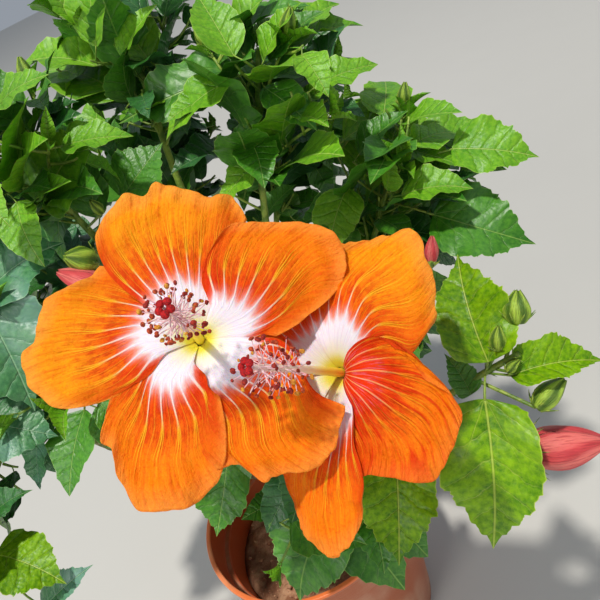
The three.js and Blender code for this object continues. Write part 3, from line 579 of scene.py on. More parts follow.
STAMENS, STAMENS_FROM, STAMENS_TO, FILAMENT, FILAMENT_SLANT, ANTHER = 76, 0.48, 0.95, 0.0125, 0.35, 0.00125
STYLES, STYLE_LENGTH, STYLE_SLANT, STYLE_PAD = 5, 0.0066, 2.1, 0.0018
STAMEN_TURN, FILAMENT_RADII, FILAMENT_BENDS = 2.4, (0.0003, 0.00019), (-0.001, 0.0015)
STYLE_RADII, STYLE_BEND, THREAD_RINGS = (0.00055, 0.00045), 0.0008, 5
BRACTS, BLOOM_BRACT, BRACT_OUT, BRACT_RISE = 8, 0.0007, (0.008, 0.011), (0.002, 0.007)
STALK_FOOT, STALK_JOINT, STALK_RINGS, STALK_SIDES = 0.0025, 0.0007, 50, 14
COLUMN_RINGS, COLUMN_SIDES, COLUMN_BOW = 60, 20, (0.0022, 0.001)
NOTCHES = ((9, 3.1, 0.5, 0.007), (26, 1.7, 2.5, 0.009))
WAVES, WAVES_REACH = ((34, 4.2, 0.0072), (105, 8.8, 0.0034)), 0.075
FRILL, PLEATS, CREPE, CUPPED, EDGE_TUCK = 0.0030, 0.0007, 0.0003, 0.0022, 0.0003
BLOOMS = {
    "bloom_left": {
        "throat": mm(31, -155, 486), "axis": (0.076, -0.704, 0.706), "column": 0.058, "stalk": 0.0019,
        "petals": [
            ((35, 36, 38, 39), (118, 117, 113, 105),
             mm(65, 70, 75, 73, 72, 75, 77, 81, 83, 79, 84, 84, 82, 78, 74), 0.0),
            ((-50, -44, -30, -31), (34, 53, 54, 50),
             mm(38, 47, 56, 68, 77, 82, 83, 82, 78, 73, 68, 64, 61, 57, 44), 0.003),
            ((-138, -124, -120, -110), (-32, -34, -54, -56),
             mm(62, 62, 62, 65, 74, 74, 76, 79, 82, 83, 83, 83, 80, 79, 77), 0.004),
            ((-208, -194, -187, -180), (-126, -106, -104, -97),
             mm(44, 50, 57, 65, 64, 71, 76, 83, 81, 79, 77, 71, 65, 52, 31), 0.001),
            ((94, 100, 105, 113), (177, 189, 188, 186),
             mm(63, 63, 65, 70, 79, 79, 78, 80, 86, 85, 84, 79, 74, 63, 46), -0.002)]},
    "bloom_right": {
        "throat": mm(79, -177, 448), "axis": (-0.433, -0.499, 0.75), "column": 0.059, "stalk": 0.0019,
        "petals": [
            ((30, 30, 14, 26), (118, 120, 118, 93),
             mm(48, 55, 57, 61, 65, 69, 73, 77, 77, 71, 70, 67, 65, 65, 65), -0.009),
            ((-66, -69, -69, -76), (50, 45, 37, 19),
             mm(50, 50, 51, 55, 61, 68, 68, 67, 67, 66, 61, 49, 48, 43, 36), 0.0),
            ((-130, -128, -126, -111), (-50, -65, -67, -73),
             mm(64, 68, 71, 74, 76, 78, 79, 83, 85, 85, 82, 79, 75, 70, 63), 0.0),
            ((-184, -188, -188, -182), (-106, -108, -112, -120), mm(60, 66, 70, 72, 70, 66, 60), -0.006),
            ((108, 106, 108, 112), (188, 190, 188, 178), mm(58, 64, 68, 70, 68, 64, 58), -0.008)]},
}


def bloom_axes(bloom):
    axis = unit(np.array(bloom["axis"]))
    up = unit(UP - axis * axis[2])
    return axis, up, np.cross(up, axis)


def on_axis(bloom, distance):
    return bloom["throat"] + bloom_axes(bloom)[0] * distance


def smooth(values, share):
    """A soft curve through evenly spaced values."""
    values = np.asarray(values, float)
    padded = np.concatenate([[2 * values[0] - values[1]], values, [2 * values[-1] - values[-2]]])
    spot = np.clip(share, 0, 1) * (len(values) - 1)
    index = np.minimum(spot.astype(int), len(values) - 2)
    t = spot - index
    a, b, c, d = (padded[index + step] for step in range(4))
    return b + 0.5 * t * (c - a + t * (2 * a - 5 * b + 4 * c - d + t * (3 * (b - c) + d - a)))


def straight(values, share):
    return np.interp(np.clip(share, 0, 1), np.linspace(0, 1, len(values)), values)


def petal_face(bloom, petal, u, w, along):
    """A petal flat round its throat, its height, and what places it; along draws the tables' outlines."""
    starts, ends, reach, lift = petal
    axis, up, right = bloom_axes(bloom)
    station = (w - 0.25) / 0.75
    angle = np.radians(mix(along(starts, station), along(ends, station), u))
    r = HUB + (along(reach, u) - HUB) * w
    height = (-THROAT_DEPTH * np.exp(-r / THROAT_WIDTH) - RECURVE * r ** 2
              + (u - 0.5) * LAYER * np.minimum(1, r / LAYER_FROM) + lift * w ** 2)
    flat = np.stack([r * np.cos(angle), r * np.sin(angle)], -1)
    return flat, height, lambda flat, height: (
        bloom["throat"] + flat[..., :1] * right + flat[..., 1:] * up + height[..., None] * axis)


def petal_sheet(bloom, petal, seed, creased):
    """A petal as a closed thin sheet: waves that all petals of the bloom share, and a frill of its own."""
    u, w = np.meshgrid(
        np.linspace(0, 1, PETAL_COLUMNS), np.linspace(PETAL_BASE, 1, PETAL_ROWS), indexing="ij")
    flat, height, place = petal_face(bloom, petal, u, w, smooth)
    rim = np.clip(w, 0, 1)
    notches = sum(noise_at(u * count, seed * own, other) * depth for count, own, other, depth in NOTCHES)
    flat = flat * (1 + notches * rim ** 6)[..., None]
    x, y = flat[..., 0], flat[..., 1]
    r = np.hypot(x, y)
    waves = sum(noise_at(x * scale, y * scale, own) * depth for scale, own, depth in WAVES)
    waves = waves * (r / WAVES_REACH) ** 2
    frill = noise_at(u * 14, w * 1.5, seed) * FRILL * rim ** 8
    pleats = noise_at(u * 22, w * 1.8, seed + 9) * PLEATS * creased * rim ** 2
    crepe = noise_at(u * 64, w * 7, seed + 3) * CREPE * creased * rim ** 2
    eased = -(0.5 - np.clip(1 - u, 0, 0.5)) * CUPPED - np.clip(u - 0.94, 0, 1) / 0.06 * EDGE_TUCK
    height = height + waves + frill + pleats + crepe + eased * np.minimum(1, r / LAYER_FROM)
    upper, lower = place(flat, height), place(flat, height - PETAL_THICKNESS)
    index = np.arange(u.size).reshape(u.shape)
    face = np.stack([index[:-1, :-1], index[1:, :-1], index[1:, 1:], index[:-1, 1:]], -1).reshape(-1, 4)
    around = np.concatenate([index[:-1, 0], index[-1, :-1], index[:0:-1, -1], index[0, :0:-1]])
    onward = np.roll(around, -1)
    sides = np.stack([around, around + u.size, onward + u.size, onward], -1)
    faces = np.concatenate([face, face[:, ::-1] + u.size, sides])
    chart = np.tile(np.stack([u, np.clip(w, 0, 1)], -1).reshape(-1, 2), (2, 1))
    spread = np.tile((flat / 0.1 + 0.5).reshape(-1, 2), (2, 1))
    return np.concatenate([upper.reshape(-1, 3), lower.reshape(-1, 3)]), faces.tolist(), chart, spread


def petal_finish(name, inner, outer, margin, face=True, hidden_eye=0.0, creased=1.0):
    """Veins fork outward from a white eye; between them the petal is flecked with a deeper orange."""
    finish = Finish(name)
    u, w, _ = finish.parts(finish.chart("petal"))
    spread = finish.chart("spread")
    sway = finish.grain(spread, 4.5, 2)
    patches = finish.grain(spread, 9, 4)
    crinkle = finish.grain(spread, 42, 5, 0.65)
    silk, streaks, dashes, folds = (
        finish.grain(finish.chart("petal", (*fineness, 1)), 1.0, detail, roughness)
        for fineness, detail, roughness in (
            ((64, 3.2), 3, 0.7), ((15, 1.6), 3, 0.6), ((36, 11), 4, 0.65), ((34, 2.6), 2, 0.5)))
    body = w.between(0.18, 0.5) * 0.85 + 0.15
    lane = abs(((u + (sway - 0.5) * 0.012) * PETAL_VEINS).fraction() - 0.5)
    slim = (1.06 - w) ** 2.0 * 0.13 + 0.034
    main = (lane / slim).between(1.0, 0.3)
    branch = (abs(lane - (w - 0.4) * 0.5) / (slim * 0.8)).between(1.0, 0.3) * w.between(0.46, 0.56) * 0.7
    vein = main.most(branch) * (w + (streaks - 0.5) * 0.4).between(0.9, 0.5)
    minor = ((0.5 - lane) / 0.045).between(1.0, 0.3) * w.between(0.8, 0.5) * w.between(0.3, 0.42) * 0.6
    tooth = (1.0 - lane * 2.0) ** 2.0
    ragged = w + (patches - 0.5) * 0.08 + (dashes - 0.5) * 0.08 - tooth * 0.06
    if hidden_eye:
        ragged = ragged + u.between(0.0, 0.14) * hidden_eye
    eye = ragged.between(0.36, 0.25)
    fringe = ragged.between(0.42, 0.32)
    flecks = dashes.between(0.54, 0.42) * w.between(0.28, 0.36) * w.between(0.84, 0.5)
    # side is painted shade: a deeper red over the half of the petal at u = 0 and a narrow band along the
    # other edge, where the cupped petal turns from the light; away from the reddish petal it fades out at the
    # rim.
    side = (u.between(0.40, 0.0) * 0.65).most(u.between(0.8, 0.97) * 0.8)
    if not hidden_eye:
        side = side * w.between(1.05, 0.8)
    # red is painted shade: it is laid over the side mask and into the low parts of the silk, fold and crinkle
    # noise, which are the hollows of the petal's relief.
    red = tint(216, 44, 0)
    pale = tint(255, 196, 130) if hidden_eye else tint(255, 226, 222)
    gold = finish.blend(w.between(0.36, 0.56), pale, tint(255, 186, 36))
    lines = silk.between(0.52, 0.64) * w.between(0.05, 0.12) * w.between(0.44, 0.3)
    shown = u.between(0.16, 0.0) if hidden_eye else 1.0
    paint = finish.coated(
        finish.blend((w + (streaks - 0.5) * 0.7 + (patches - 0.5) * 0.3).between(0.34, 0.8), inner, outer),
        # The red on low silk, folds and crinkle here is painted shade in the wrinkles and folds.
        (flecks * 0.6, tint(196, 40, 0)), (silk.between(0.5, 0.3) * 0.34, red),
        (folds.between(0.5, 0.34) * 0.5 * (creased - 0.5), red),
        (crinkle.between(0.5, 0.36) * 0.25 * body, red),
        (silk.between(0.54, 0.7) * w.between(0.4, 0.6) * 0.25, tint(255, 172, 40)),
        ((w + (crinkle - 0.5) * 0.06).between(0.84, 1.0) * 0.6, margin), (side, red),
        (minor * 0.5, tint(255, 176, 44)), (vein * (0.5 if hidden_eye else 0.95), gold),
        (fringe * (0.1 if hidden_eye else 0.3), tint(252, 176, 150)), (eye, tint(246, 232, 240)),
        (lines * 0.35, tint(216, 166, 204)),
        ((w + (silk - 0.5) * 0.12).between(0.20, 0.04) * 0.55 * shown, tint(250, 240, 160)),
        ((w + (silk - 0.5) * 0.1).between(0.09, 0.0) * shown, tint(240, 222, 60)))
    height = crinkle * 0.55 + silk * 0.4 + folds * (creased - 0.5) + dashes * 0.35 - (vein + minor) * 0.2
    if not face:
        paint = finish.blend(0.4, paint, tint(238, 120, 50))
    # The emission is a faint glow of the inner orange, greyish on the eye, so that the petal's shaded parts
    # stay a saturated red: painted light.
    return finish.surface(
        paint, crinkle * 0.2 + 0.46, height * body, 0.0015 + 0.0004 * creased,
        Emission_Color=finish.blend(eye, inner, tint(120, 100, 100)), Emission_Strength=0.06,
        Specular_IOR_Level=0.12, Subsurface_Weight=0.25, Subsurface_Radius=(1.0, 0.35, 0.1),
        Subsurface_Scale=0.0015)


def disc_of(rings, centre, way):
    """Rings about an axis, closed at both ends. Each has a radius, a distance, and a swell and a rise."""
    side, other = across(way)
    sides = len(rings[0][2])
    turns = np.arange(sides)[:, None] / sides * math.tau
    spokes = side * np.cos(turns) + other * np.sin(turns)
    points = np.concatenate([
        centre + way * (distance + rise)[:, None] + spokes * (radius * swell)[:, None]
        for radius, distance, swell, rise in rings])
    return points, ring_faces(len(rings), sides)


def lobed_cup(centre, way, length, radius, throat, flare=CALYX_FLARE):
    """A calyx: a ribbed cup with a wall, its rim drawn out into pointed lobes."""
    turns = np.arange(CALYX_SIDES) / CALYX_SIDES * math.tau
    tooth = 1 - abs(2 * ((turns * CALYX_LOBES / math.tau) % 1) - 1)
    rib = 1 + 0.03 * np.cos(turns * CALYX_RIBS)
    depth = length * (0.62 + 0.38 * tooth ** 0.8)
    shares = np.linspace(0, 1, 14)
    width = [
        mix(throat, radius, math.sin(min(1, t * 1.6) * math.pi / 2)) * mix(1, flare, max(0, t - 0.6) / 0.4)
        for t in shares]
    outer = [(wide, 0.0, rib, depth * t) for t, wide in zip(shares, width)]
    inner = [(wide - CALYX_WALL, 0.0, rib, depth * t) for t, wide in list(zip(shares, width))[:3:-1]]
    return disc_of(outer + inner, centre, way)


def bract(root, tip, bow, width):
    """A thin curved leafy point, as those under a calyx, and hair-like stipules."""
    bend = mix(root, tip, 0.5) + bow
    t = np.linspace(0, 1, 7)
    path = bezier([root, bend, tip], t)
    return tube(path, width * np.sin(np.pi * mix(0.35, 0.97, t)) ** 0.8, 5)


def green_finish(name, light, dark, scale=160, roughness=0.42):
    finish = Finish(name)
    stripes = finish.grain(finish.place(), scale, 3)
    down = finish.grain(finish.place(), 1800, 2)
    paint = finish.blend(stripes.between(0.38, 0.64), dark, light)
    return finish.surface(paint, roughness, stripes + down * 0.3, 0.0004, Subsurface_Weight=0.1,
                          Subsurface_Radius=(0.4, 1.0, 0.2), Subsurface_Scale=0.001)


def tapering(controls, rings, root, tip, sides):
    """A limb along a curve, from one radius at its root to another at its tip."""
    return tube(bezier(controls, np.linspace(0, 1, rings)), np.linspace(root, tip, rings), sides)


def thread(centre, radial, way, length, slant, bow, radii, sides):
    """A thin curved thread off the column, from its axis outward, and the place of its end."""
    aim = unit(radial + way * slant)
    bend, end = centre + aim * length * 0.55 + way * bow, centre + aim * length
    return tapering([centre, bend, end], THREAD_RINGS, *radii, sides), end


def pad(centre, radius, way, flat, sides, rings):
    """A round velvety pad."""
    even, level = np.ones(sides), np.zeros(sides)
    return disc_of([
        (radius * math.sin(turn), -radius * math.cos(turn) * flat, even, level)
        for turn in math.pi * mix(0.06, 0.94, np.linspace(0, 1, rings))], centre, way)


def column_finish():
    finish = Finish("column_skin")
    up = finish.parts(finish.chart("run"))[1]
    paint = finish.coated(
        finish.blend(up.between(0.25, 0.62), tint(250, 226, 70), tint(252, 236, 214)),
        (up.between(0.6, 1.0) * 0.6, tint(248, 206, 204)))
    return finish.surface(paint, 0.4, finish.grain(finish.place(), 500, 3), 0.0003, Subsurface_Weight=0.2,
                          Subsurface_Scale=0.002)


column_skin = column_finish()
filament_skin = green_finish("filament_skin", tint(250, 222, 226), tint(236, 180, 190), 300)
anther_skins = [
    green_finish("anther_dark", tint(176, 44, 26), tint(120, 20, 14), 900, 0.75),
    green_finish("anther_rust", tint(206, 84, 36), tint(146, 44, 18), 900, 0.75),
    green_finish("anther_gold", tint(236, 172, 52), tint(190, 110, 26), 900, 0.75)]
pad_skin = green_finish("stigma_velvet", tint(206, 6, 14), tint(140, 0, 6), 1400, 0.8)
calyx_skin = green_finish("calyx_green", tint(164, 184, 74), tint(96, 130, 46), 220)
stalk_skin = green_finish("stalk_green", tint(150, 176, 70), tint(104, 138, 48), 200)
CREASED = {"orange": 1.0, "golden": 0.8, "reddish": 2.2}
PETAL_COLOURS = {
    "orange": (((238, 76, 0), (255, 132, 4), (255, 152, 62)),
               ((232, 84, 8), (246, 128, 24), (250, 160, 84))),
    "golden": (((242, 88, 0), (255, 154, 6), (255, 162, 66)),
               ((238, 100, 10), (248, 144, 24), (250, 168, 84))),
    "reddish": (((226, 52, 0), (252, 126, 6), (252, 132, 44)),
                ((226, 66, 8), (240, 104, 20), (240, 120, 50)))}
PETAL_WAYS = {"reddish": {"hidden_eye": 0.38, "creased": CREASED["reddish"]}}
petal_skins = {
    kind: (petal_finish(f"petal_{kind}", *(tint(*colour) for colour in front), **PETAL_WAYS.get(kind, {})),
           petal_finish(f"petal_{kind}_back", *(tint(*colour) for colour in back), face=False))
    for kind, (front, back) in PETAL_COLOURS.items()}
PETAL_KINDS = {"bloom_left": ("golden", "orange", "orange", "orange", "golden"),
               "bloom_right": ("golden", "reddish", "orange", "orange", "orange")}
for bloom_name, bloom in BLOOMS.items():
    way, up, right = bloom_axes(bloom)
    draw = seeded(len(bloom_name) * 3)
    for number, petal in enumerate(bloom["petals"]):
        kind = PETAL_KINDS[bloom_name][number]
        skin, back = petal_skins[kind]
        sheet = petal_sheet(bloom, petal, number * 7.3 + len(bloom_name), CREASED[kind])
        whole = made(
            f"{bloom_name}_petal_{number + 1}", [sheet], skin, [bloom_name], ["petal", "spread"])
        whole.data.materials.append(back)
        upper = (PETAL_COLUMNS - 1) * (PETAL_ROWS - 1)
        sides = [0] * upper + [1] * (len(whole.data.polygons) - upper)
        whole.data.polygons.foreach_set("material_index", sides)
        u, w = np.meshgrid(*(np.linspace(0, 1, count) for count in PETAL_GUARDS), indexing="ij")
        flat, height, place = petal_face(bloom, petal, u, w, straight)
        guard(place(flat, height).reshape(-1, 3), CLEAR_PETAL)
    controls = bough_controls(bloom_name)
    start = controls[2]
    end = on_axis(bloom, -CALYX_BACK)
    span = np.linalg.norm(start - end)
    stalk = [start, start + bezier_way(controls, 1) * span * 0.35, end - way * span * 0.45, end]
    guard_limb(stalk, lambda t: np.full(np.shape(t), bloom["stalk"]), CLEAR_BLOOM_STALK)
    shares = np.linspace(0, 1, STALK_RINGS)
    joint = STALK_JOINT * np.exp(-((shares - 0.8) / 0.03) ** 2)
    thick = mix(STALK_FOOT, bloom["stalk"], np.minimum(1, shares * 3)) + joint
    made(f"{bloom_name}_stalk", [tube(bezier(stalk, shares), thick, STALK_SIDES)], stalk_skin,
         [bloom_name])
    base = on_axis(bloom, -CALYX_BACK - CALYX_LENGTH * 0.2)
    cup = lobed_cup(base, way, CALYX_LENGTH, CALYX_RADIUS, bloom["stalk"])
    bracts = []
    for i in range(BRACTS):
        radial = way_out(way, i / BRACTS * math.tau)
        foot = base + way * 0.003 + radial * 0.0035
        end = foot + radial * mix(*BRACT_OUT, draw()) + way * mix(*BRACT_RISE, draw())
        bracts.append(bract(foot, end, way * -0.002, BLOOM_BRACT))
    made(f"{bloom_name}_calyx", [cup, *bracts], calyx_skin, [bloom_name])
    foot = on_axis(bloom, -CALYX_BACK * COLUMN_SUNK)
    tip = on_axis(bloom, bloom["column"])
    line = [foot, mix(foot, tip, 0.5) + right * COLUMN_BOW[0] + up * COLUMN_BOW[1], tip]
    shares = np.linspace(0, 1, COLUMN_RINGS)
    thick = mix(COLUMN_ROOT, COLUMN_TIP, shares ** 0.8) * np.clip((1 - shares) * 14, 0.45, 1) ** 0.5
    column = (*tube(bezier(line, shares), thick, COLUMN_SIDES), run_of(COLUMN_RINGS, COLUMN_SIDES))
    made(f"{bloom_name}_column", [column], column_skin, [bloom_name], ["run"])
    filaments, anthers, pads = [], [[], [], []], []
    sunk = CALYX_BACK * COLUMN_SUNK
    for i in range(STAMENS):
        share = mix(STAMENS_FROM, STAMENS_TO, (i + draw() * 0.6) / STAMENS)
        spot = bezier(line, (share * bloom["column"] + sunk) / (bloom["column"] + sunk))
        radial = way_out(way, i * STAMEN_TURN + draw() * 0.5)
        length, slant = FILAMENT * mix(0.7, 1.15, draw()), FILAMENT_SLANT * mix(0.4, 1.9, draw())
        bend = mix(*FILAMENT_BENDS, draw())
        filament, end = thread(spot, radial, way, length, slant, bend, FILAMENT_RADII, 5)
        filaments.append(filament)
        kind = 0 if draw() < 0.5 else 1 if draw() < 0.65 else 2
        lean = unit(radial + sum(one * mix(-1, 1, draw()) for one in (*across(way), way)))
        anthers[kind].append(pad(end, ANTHER * mix(0.6, 1.25, draw()), lean, 0.62, 8, 5))
    for i in range(STYLES):
        radial = way_out(way, i / STYLES * math.tau + 0.3)
        length = STYLE_LENGTH * mix(0.82, 1.05, draw())
        style, end = thread(
            tip - way * 0.001, radial, way, length, STYLE_SLANT, STYLE_BEND, STYLE_RADII, 8)
        filaments.append(style)
        pads.append(pad(end, STYLE_PAD, unit(radial * 0.5 + way), 0.8, 14, 8))
    made(f"{bloom_name}_filaments", filaments, filament_skin, [bloom_name])
    for kind, group in enumerate(anthers):
        made(f"{bloom_name}_anthers_{kind + 1}", group, anther_skins[kind], [bloom_name])
    made(f"{bloom_name}_stigmas", pads, pad_skin, [bloom_name])
    guard_limb([on_axis(bloom, -CALYX_BACK - 0.006), bloom["throat"]],
               lambda t: np.full(np.shape(t), CALYX_RADIUS), 0)


# The foliage
# Each mass is one green stem that goes on from a bough, shoots that branch from it by a turning rule, and
# leaves set round them on stalks. Finer twigs with smaller leaves fill the room between, and a tuft of
# young leaves ends each shoot. The blades are glossy, toothed and quilted, with pale veins.
GAP = 0.0003
MASSES = {
    "front_right": (mm(152, -158, 358), 0.106, mm(176, -163, 387), 0, 11),
    "front_low": (mm(44, -112, 300), 0.104, mm(64, -128, 306), 2, 12),
    "low_left": (mm(-182, -66, 366), 0.078, mm(-196, -78, 368), 3, 13),
    "low_back": (mm(-34, 92, 306), 0.088, mm(-40, 112, 330), 5, 23),
    "low_right": (mm(122, 26, 318), 0.084, mm(138, 30, 342), 5, 24),
    "front_left": (mm(-92, -52, 446), 0.090, mm(-96, -52, 486), 5, 14),
    "left": (mm(-150, 36, 432), 0.098, mm(-176, 38, 470), 6, 15),
    "back_left": (mm(-98, 126, 430), 0.100, mm(-120, 148, 474), 5, 16),
    "back": (mm(22, 156, 464), 0.100, mm(24, 182, 508), 6, 17),
    "back_right": (mm(138, 122, 446), 0.100, mm(160, 138, 488), 5, 18),
    "right": (mm(176, 8, 426), 0.092, mm(200, 4, 458), 6, 19),
    "upper_right": (mm(122, 16, 512), 0.090, mm(132, 14, 552), 5, 20),
    "upper_left": (mm(-34, 10, 546), 0.092, mm(-44, 10, 586), 6, 21),
    "top": (mm(60, 86, 560), 0.092, mm(66, 94, 600), 6, 22),
}
LEAF_LENGTH, LEAF_YOUNG, LEAF_GROWN, LEAF_WIDTH, LEAF_ARCH = 0.094, 0.064, 0.040, 0.66, 0.07
STALK_RADIUS, FINER_STALK, BIG_STALK, YOUNG_STALK = 0.0007, 0.0005, 0.0008, 0.0004
PETIOLE, LEAF_SPACING, LEAF_TURN, LEAF_LEAN, LEAF_SIDE = 0.16, 0.014, 2.4, 0.7, 0.8
LIGHT = np.array((0, -0.4, 1))
MASS_STEM = {"root": 0.0036, "tip": 0.0024, "steps": 3, "bend": 0.45}
SHOOT = {"root": 0.0016, "tip": 0.0012, "steps": 2, "bend": 0.35}
SHOOT_FILL, SHOOT_LEAST, SHOOT_SHRINK, SHOOT_SHORTEST, LEAFLESS = 0.56, 0.25, 0.1, 0.020, 0.35
TRIES, TRY_TURN, TRY_SHRINK = 7, 0.9, 0.06
SAMPLE_ROWS = ((0.02, 0), (0.16, 0.55), (0.34, 1), (0.52, 0.88), (0.7, 0.62), (0.86, 0.3), (1, 0))
CLEAR_LEAF, CLEAR_STALK, CLEAR_SHOOT, CLEAR_SPACE = mm(4.5, 1.8, 4, 0.6)
CROWN_MIDDLE = mm(10, 10, 360)
EYE = mm(83, -414, 644)
OPEN_AIR = [
    (mm(31, -155, 486), 0.076, False), (mm(79, -177, 448), 0.076, False),
    (mm(-22, -52, 138), 0.020, False), (mm(-170, -40, 260), 0.062, True), (mm(-70, -24, 138), 0.024, False),
    (mm(-86, -67, 482), 0.038, False), (mm(-106, -82, 436), 0.030, False)]
centres = np.array([mass[0] for mass in MASSES.values()])
reaches = np.array([mass[1] for mass in MASSES.values()])


def in_space(name, places):
    """Which places are in a mass's ball, and on its side of the flats between it and its neighbours."""
    own = list(MASSES).index(name)
    depths = ((places[:, None] - centres) ** 2).sum(-1) - reaches ** 2
    room = 2 * CLEAR_SPACE * np.linalg.norm(centres - centres[own], axis=1)
    beyond = depths - depths[:, own:own + 1] > room
    beyond[:, own] = True
    return (depths[:, own] <= 0) & beyond.all(1)


def in_open_air(places):
    """Which places stand in the open air before the blooms, the soil and the pot."""
    inside = np.zeros(len(places), bool)
    for to, radius, beyond in OPEN_AIR:
        sight = to - EYE
        share = (places - EYE) @ sight / (sight @ sight)
        off = np.linalg.norm(places - EYE - share[:, None] * sight, axis=1)
        inside |= (share >= 0) & ((share <= 1) | beyond) & (off < radius * share)
    return inside


def on_limb(limb, t):
    """A place and a direction on a limb as straight lengths between its rings."""
    scaled = min(t, 0.9999) * limb["steps"]
    index = math.floor(scaled)
    a, b = bezier(limb["path"], np.array([index, index + 1]) / limb["steps"])
    return mix(a, b, scaled - index), unit(b - a)


def outward(place):
    return unit((place - CROWN_MIDDLE) * (1, 1, 0.5))


def squares_to_line(places, start, way):
    """Squared distances from places to the nearest point of a straight line from start along way."""
    share = np.clip((places - start) @ way / (way @ way), 0, 1)[:, None]
    return ((places - start - share * way) ** 2).sum(-1)


def nearest_squares(places, a, b, c):
    """Squared distances from places to the nearest point of a triangle."""
    ab, ac = b - a, c - a
    normal = np.cross(ab, ac)
    offset = places - a
    s = np.cross(offset, ac) @ normal / (normal @ normal)
    t = np.cross(ab, offset) @ normal / (normal @ normal)
    inside = (s >= 0) & (t >= 0) & (s + t <= 1)
    square = (offset @ normal) ** 2 / (normal @ normal)
    edges = [squares_to_line(places, start, way) for start, way in ((a, ab), (a, ac), (b, c - b))]
    return np.where(inside, square, np.min(edges, axis=0))


def leaf_axes(leaf):
    span = leaf["tip"] - leaf["foot"]
    length = np.linalg.norm(span)
    axis = span / length
    normal = unit(leaf["facing"] - axis * (leaf["facing"] @ axis))
    return axis, length, normal, np.cross(axis, normal)


def on_leaf(leaf, along, out):
    """Places on a leaf's arched blade, by their share of its length and their distance to its side."""
    axis, length, normal, side = leaf_axes(leaf)
    along, out = np.asarray(along, float)[..., None], np.asarray(out, float)[..., None]
    arch = normal * length * LEAF_ARCH * 4 * along * (1 - along)
    return leaf["foot"] + axis * length * along + arch + side * out


def leaf_samples(leaf):
    along, share = np.array([
        (along, way * share / 2)
        for along, share in SAMPLE_ROWS for way in ((-1, 0, 1) if share else (0,))]).T
    return on_leaf(leaf, along, share * leaf["width"])


def leaf_fits(name, leaf, closeness=1.0):
    """Whether a leaf keeps to its mass's space, out of the open air, and clear of what is guarded."""
    samples = leaf_samples(leaf)
    if not in_space(name, samples).all() or in_open_air(samples).any():
        return False
    middle = (leaf["root"] + leaf["tip"]) / 2
    reach = leaf["width"] / 2 + np.linalg.norm(leaf["root"] - leaf["tip"]) / 2
    near = guarded[np.linalg.norm(guarded[:, :3] - middle, axis=1) <= reach + guarded[:, 3]]
    if not len(near):
        return True
    places, squares = near[:, :3], (near[:, 3] * closeness) ** 2
    start = mix(leaf["root"], leaf["foot"], 0.45)
    if (squares_to_line(places, start, leaf["foot"] - start) < squares).any():
        return False
    half = leaf["width"] / 2
    left, right, far_left, far_right = on_leaf(
        leaf, (0.36, 0.36, 0.72, 0.72), (-half, half, -half * 0.6, half * 0.6))
    triangles = (leaf["foot"], left, right), (left, far_left, right), (
        far_left, far_right, right), (far_left, leaf["tip"], far_right)
    return all((nearest_squares(places, *corners) > squares).all() for corners in triangles)


def guard_leaf(leaf, closeness=1.0):
    guard(leaf_samples(leaf), CLEAR_LEAF * closeness)
    guard([mix(leaf["root"], leaf["foot"], share) for share in (0.4, 0.7)], CLEAR_STALK * closeness)


def leaf_on(limb, t, turn, size, draw):
    """The leaf at a place on a limb: it leans out from the limb, then hangs outward."""
    root, way = on_limb(limb, t)
    radial = way_out(way, turn)
    length = size * mix(0.9, 1.06, draw())
    stalk = unit(radial * LEAF_SIDE + way * (1 - LEAF_SIDE))
    foot = root + stalk * length * PETIOLE
    out = outward(foot)
    axis = unit(stalk + out * LEAF_LEAN + UP * mix(-0.1, -0.6, draw()))
    return {
        "root": root, "foot": foot, "tip": foot + axis * length, "facing": LIGHT + out * 0.3,
        "width": length * LEAF_WIDTH, "turns_back": unit(foot - root) @ axis < 0.2,
        "start": bezier(limb["path"], t), "stalk": STALK_RADIUS}


def grow_shoots(name, draw):
    centre, reach, end, count, seed = MASSES[name]
    bough = bough_controls(name)
    way = bezier_way(bough, 1)
    start = bough[2] + way * GAP
    bend = start + way * np.linalg.norm(start - end) * MASS_STEM["bend"]
    stem = {"path": [start, bend, end], **MASS_STEM}
    shoots = [stem]
    aim_along = unit(outward(centre) + UP * 0.35)
    side, other = across(aim_along)
    for i in range(count):
        turn = i * LEAF_TURN + seed
        ahead = 1 - (i + 0.8) / count
        spread = math.sqrt(1 - ahead * ahead)
        aim = aim_along * ahead + side * spread * math.cos(turn) + other * spread * math.sin(turn)
        t = mix(0.12, 0.75, draw())
        root, along_stem = on_limb(stem, t)
        share = SHOOT_FILL
        while share > SHOOT_LEAST:
            tip = centre + aim * reach * share
            path = [root, root + along_stem * np.linalg.norm(root - tip) * SHOOT["bend"], tip]
            checks = bezier(path, np.linspace(0, 1, 13))[3:]
            apart = np.linalg.norm(checks[:, None] - guarded[:, :3], axis=2)
            if (in_space(name, checks).all() and not in_open_air(checks).any()
                    and (apart > guarded[:, 3] + SHOOT["root"] + CLEAR_SHOOT).all()
                    and curve_length(path) > SHOOT_SHORTEST):
                shoots.append({"path": path, **SHOOT})
                break
            share -= SHOOT_SHRINK
    return shoots


def grow_leaves(name, limb, index, draw):
    length = curve_length(limb["path"])
    count = max(2, math.floor(length * (1 - LEAFLESS) / LEAF_SPACING + 0.5))
    leaves = []
    for i in range(count):
        t = 1 - (1 - LEAFLESS) * (i + 0.25) / count
        size = mix(LEAF_YOUNG, LEAF_LENGTH, min(1, length * (1 - t) / LEAF_GROWN))
        for attempt in range(TRIES):
            turn = i * LEAF_TURN + index + attempt * TRY_TURN
            leaf = leaf_on(limb, t, turn, size * (1 - TRY_SHRINK * attempt), draw)
            if not leaf["turns_back"] and in_space(name, leaf["root"][None]).all() and leaf_fits(name, leaf):
                leaf["age"] = (length * (1 - t)) / LEAF_GROWN
                leaves.append(leaf)
                guard_leaf(leaf)
                break
    return leaves
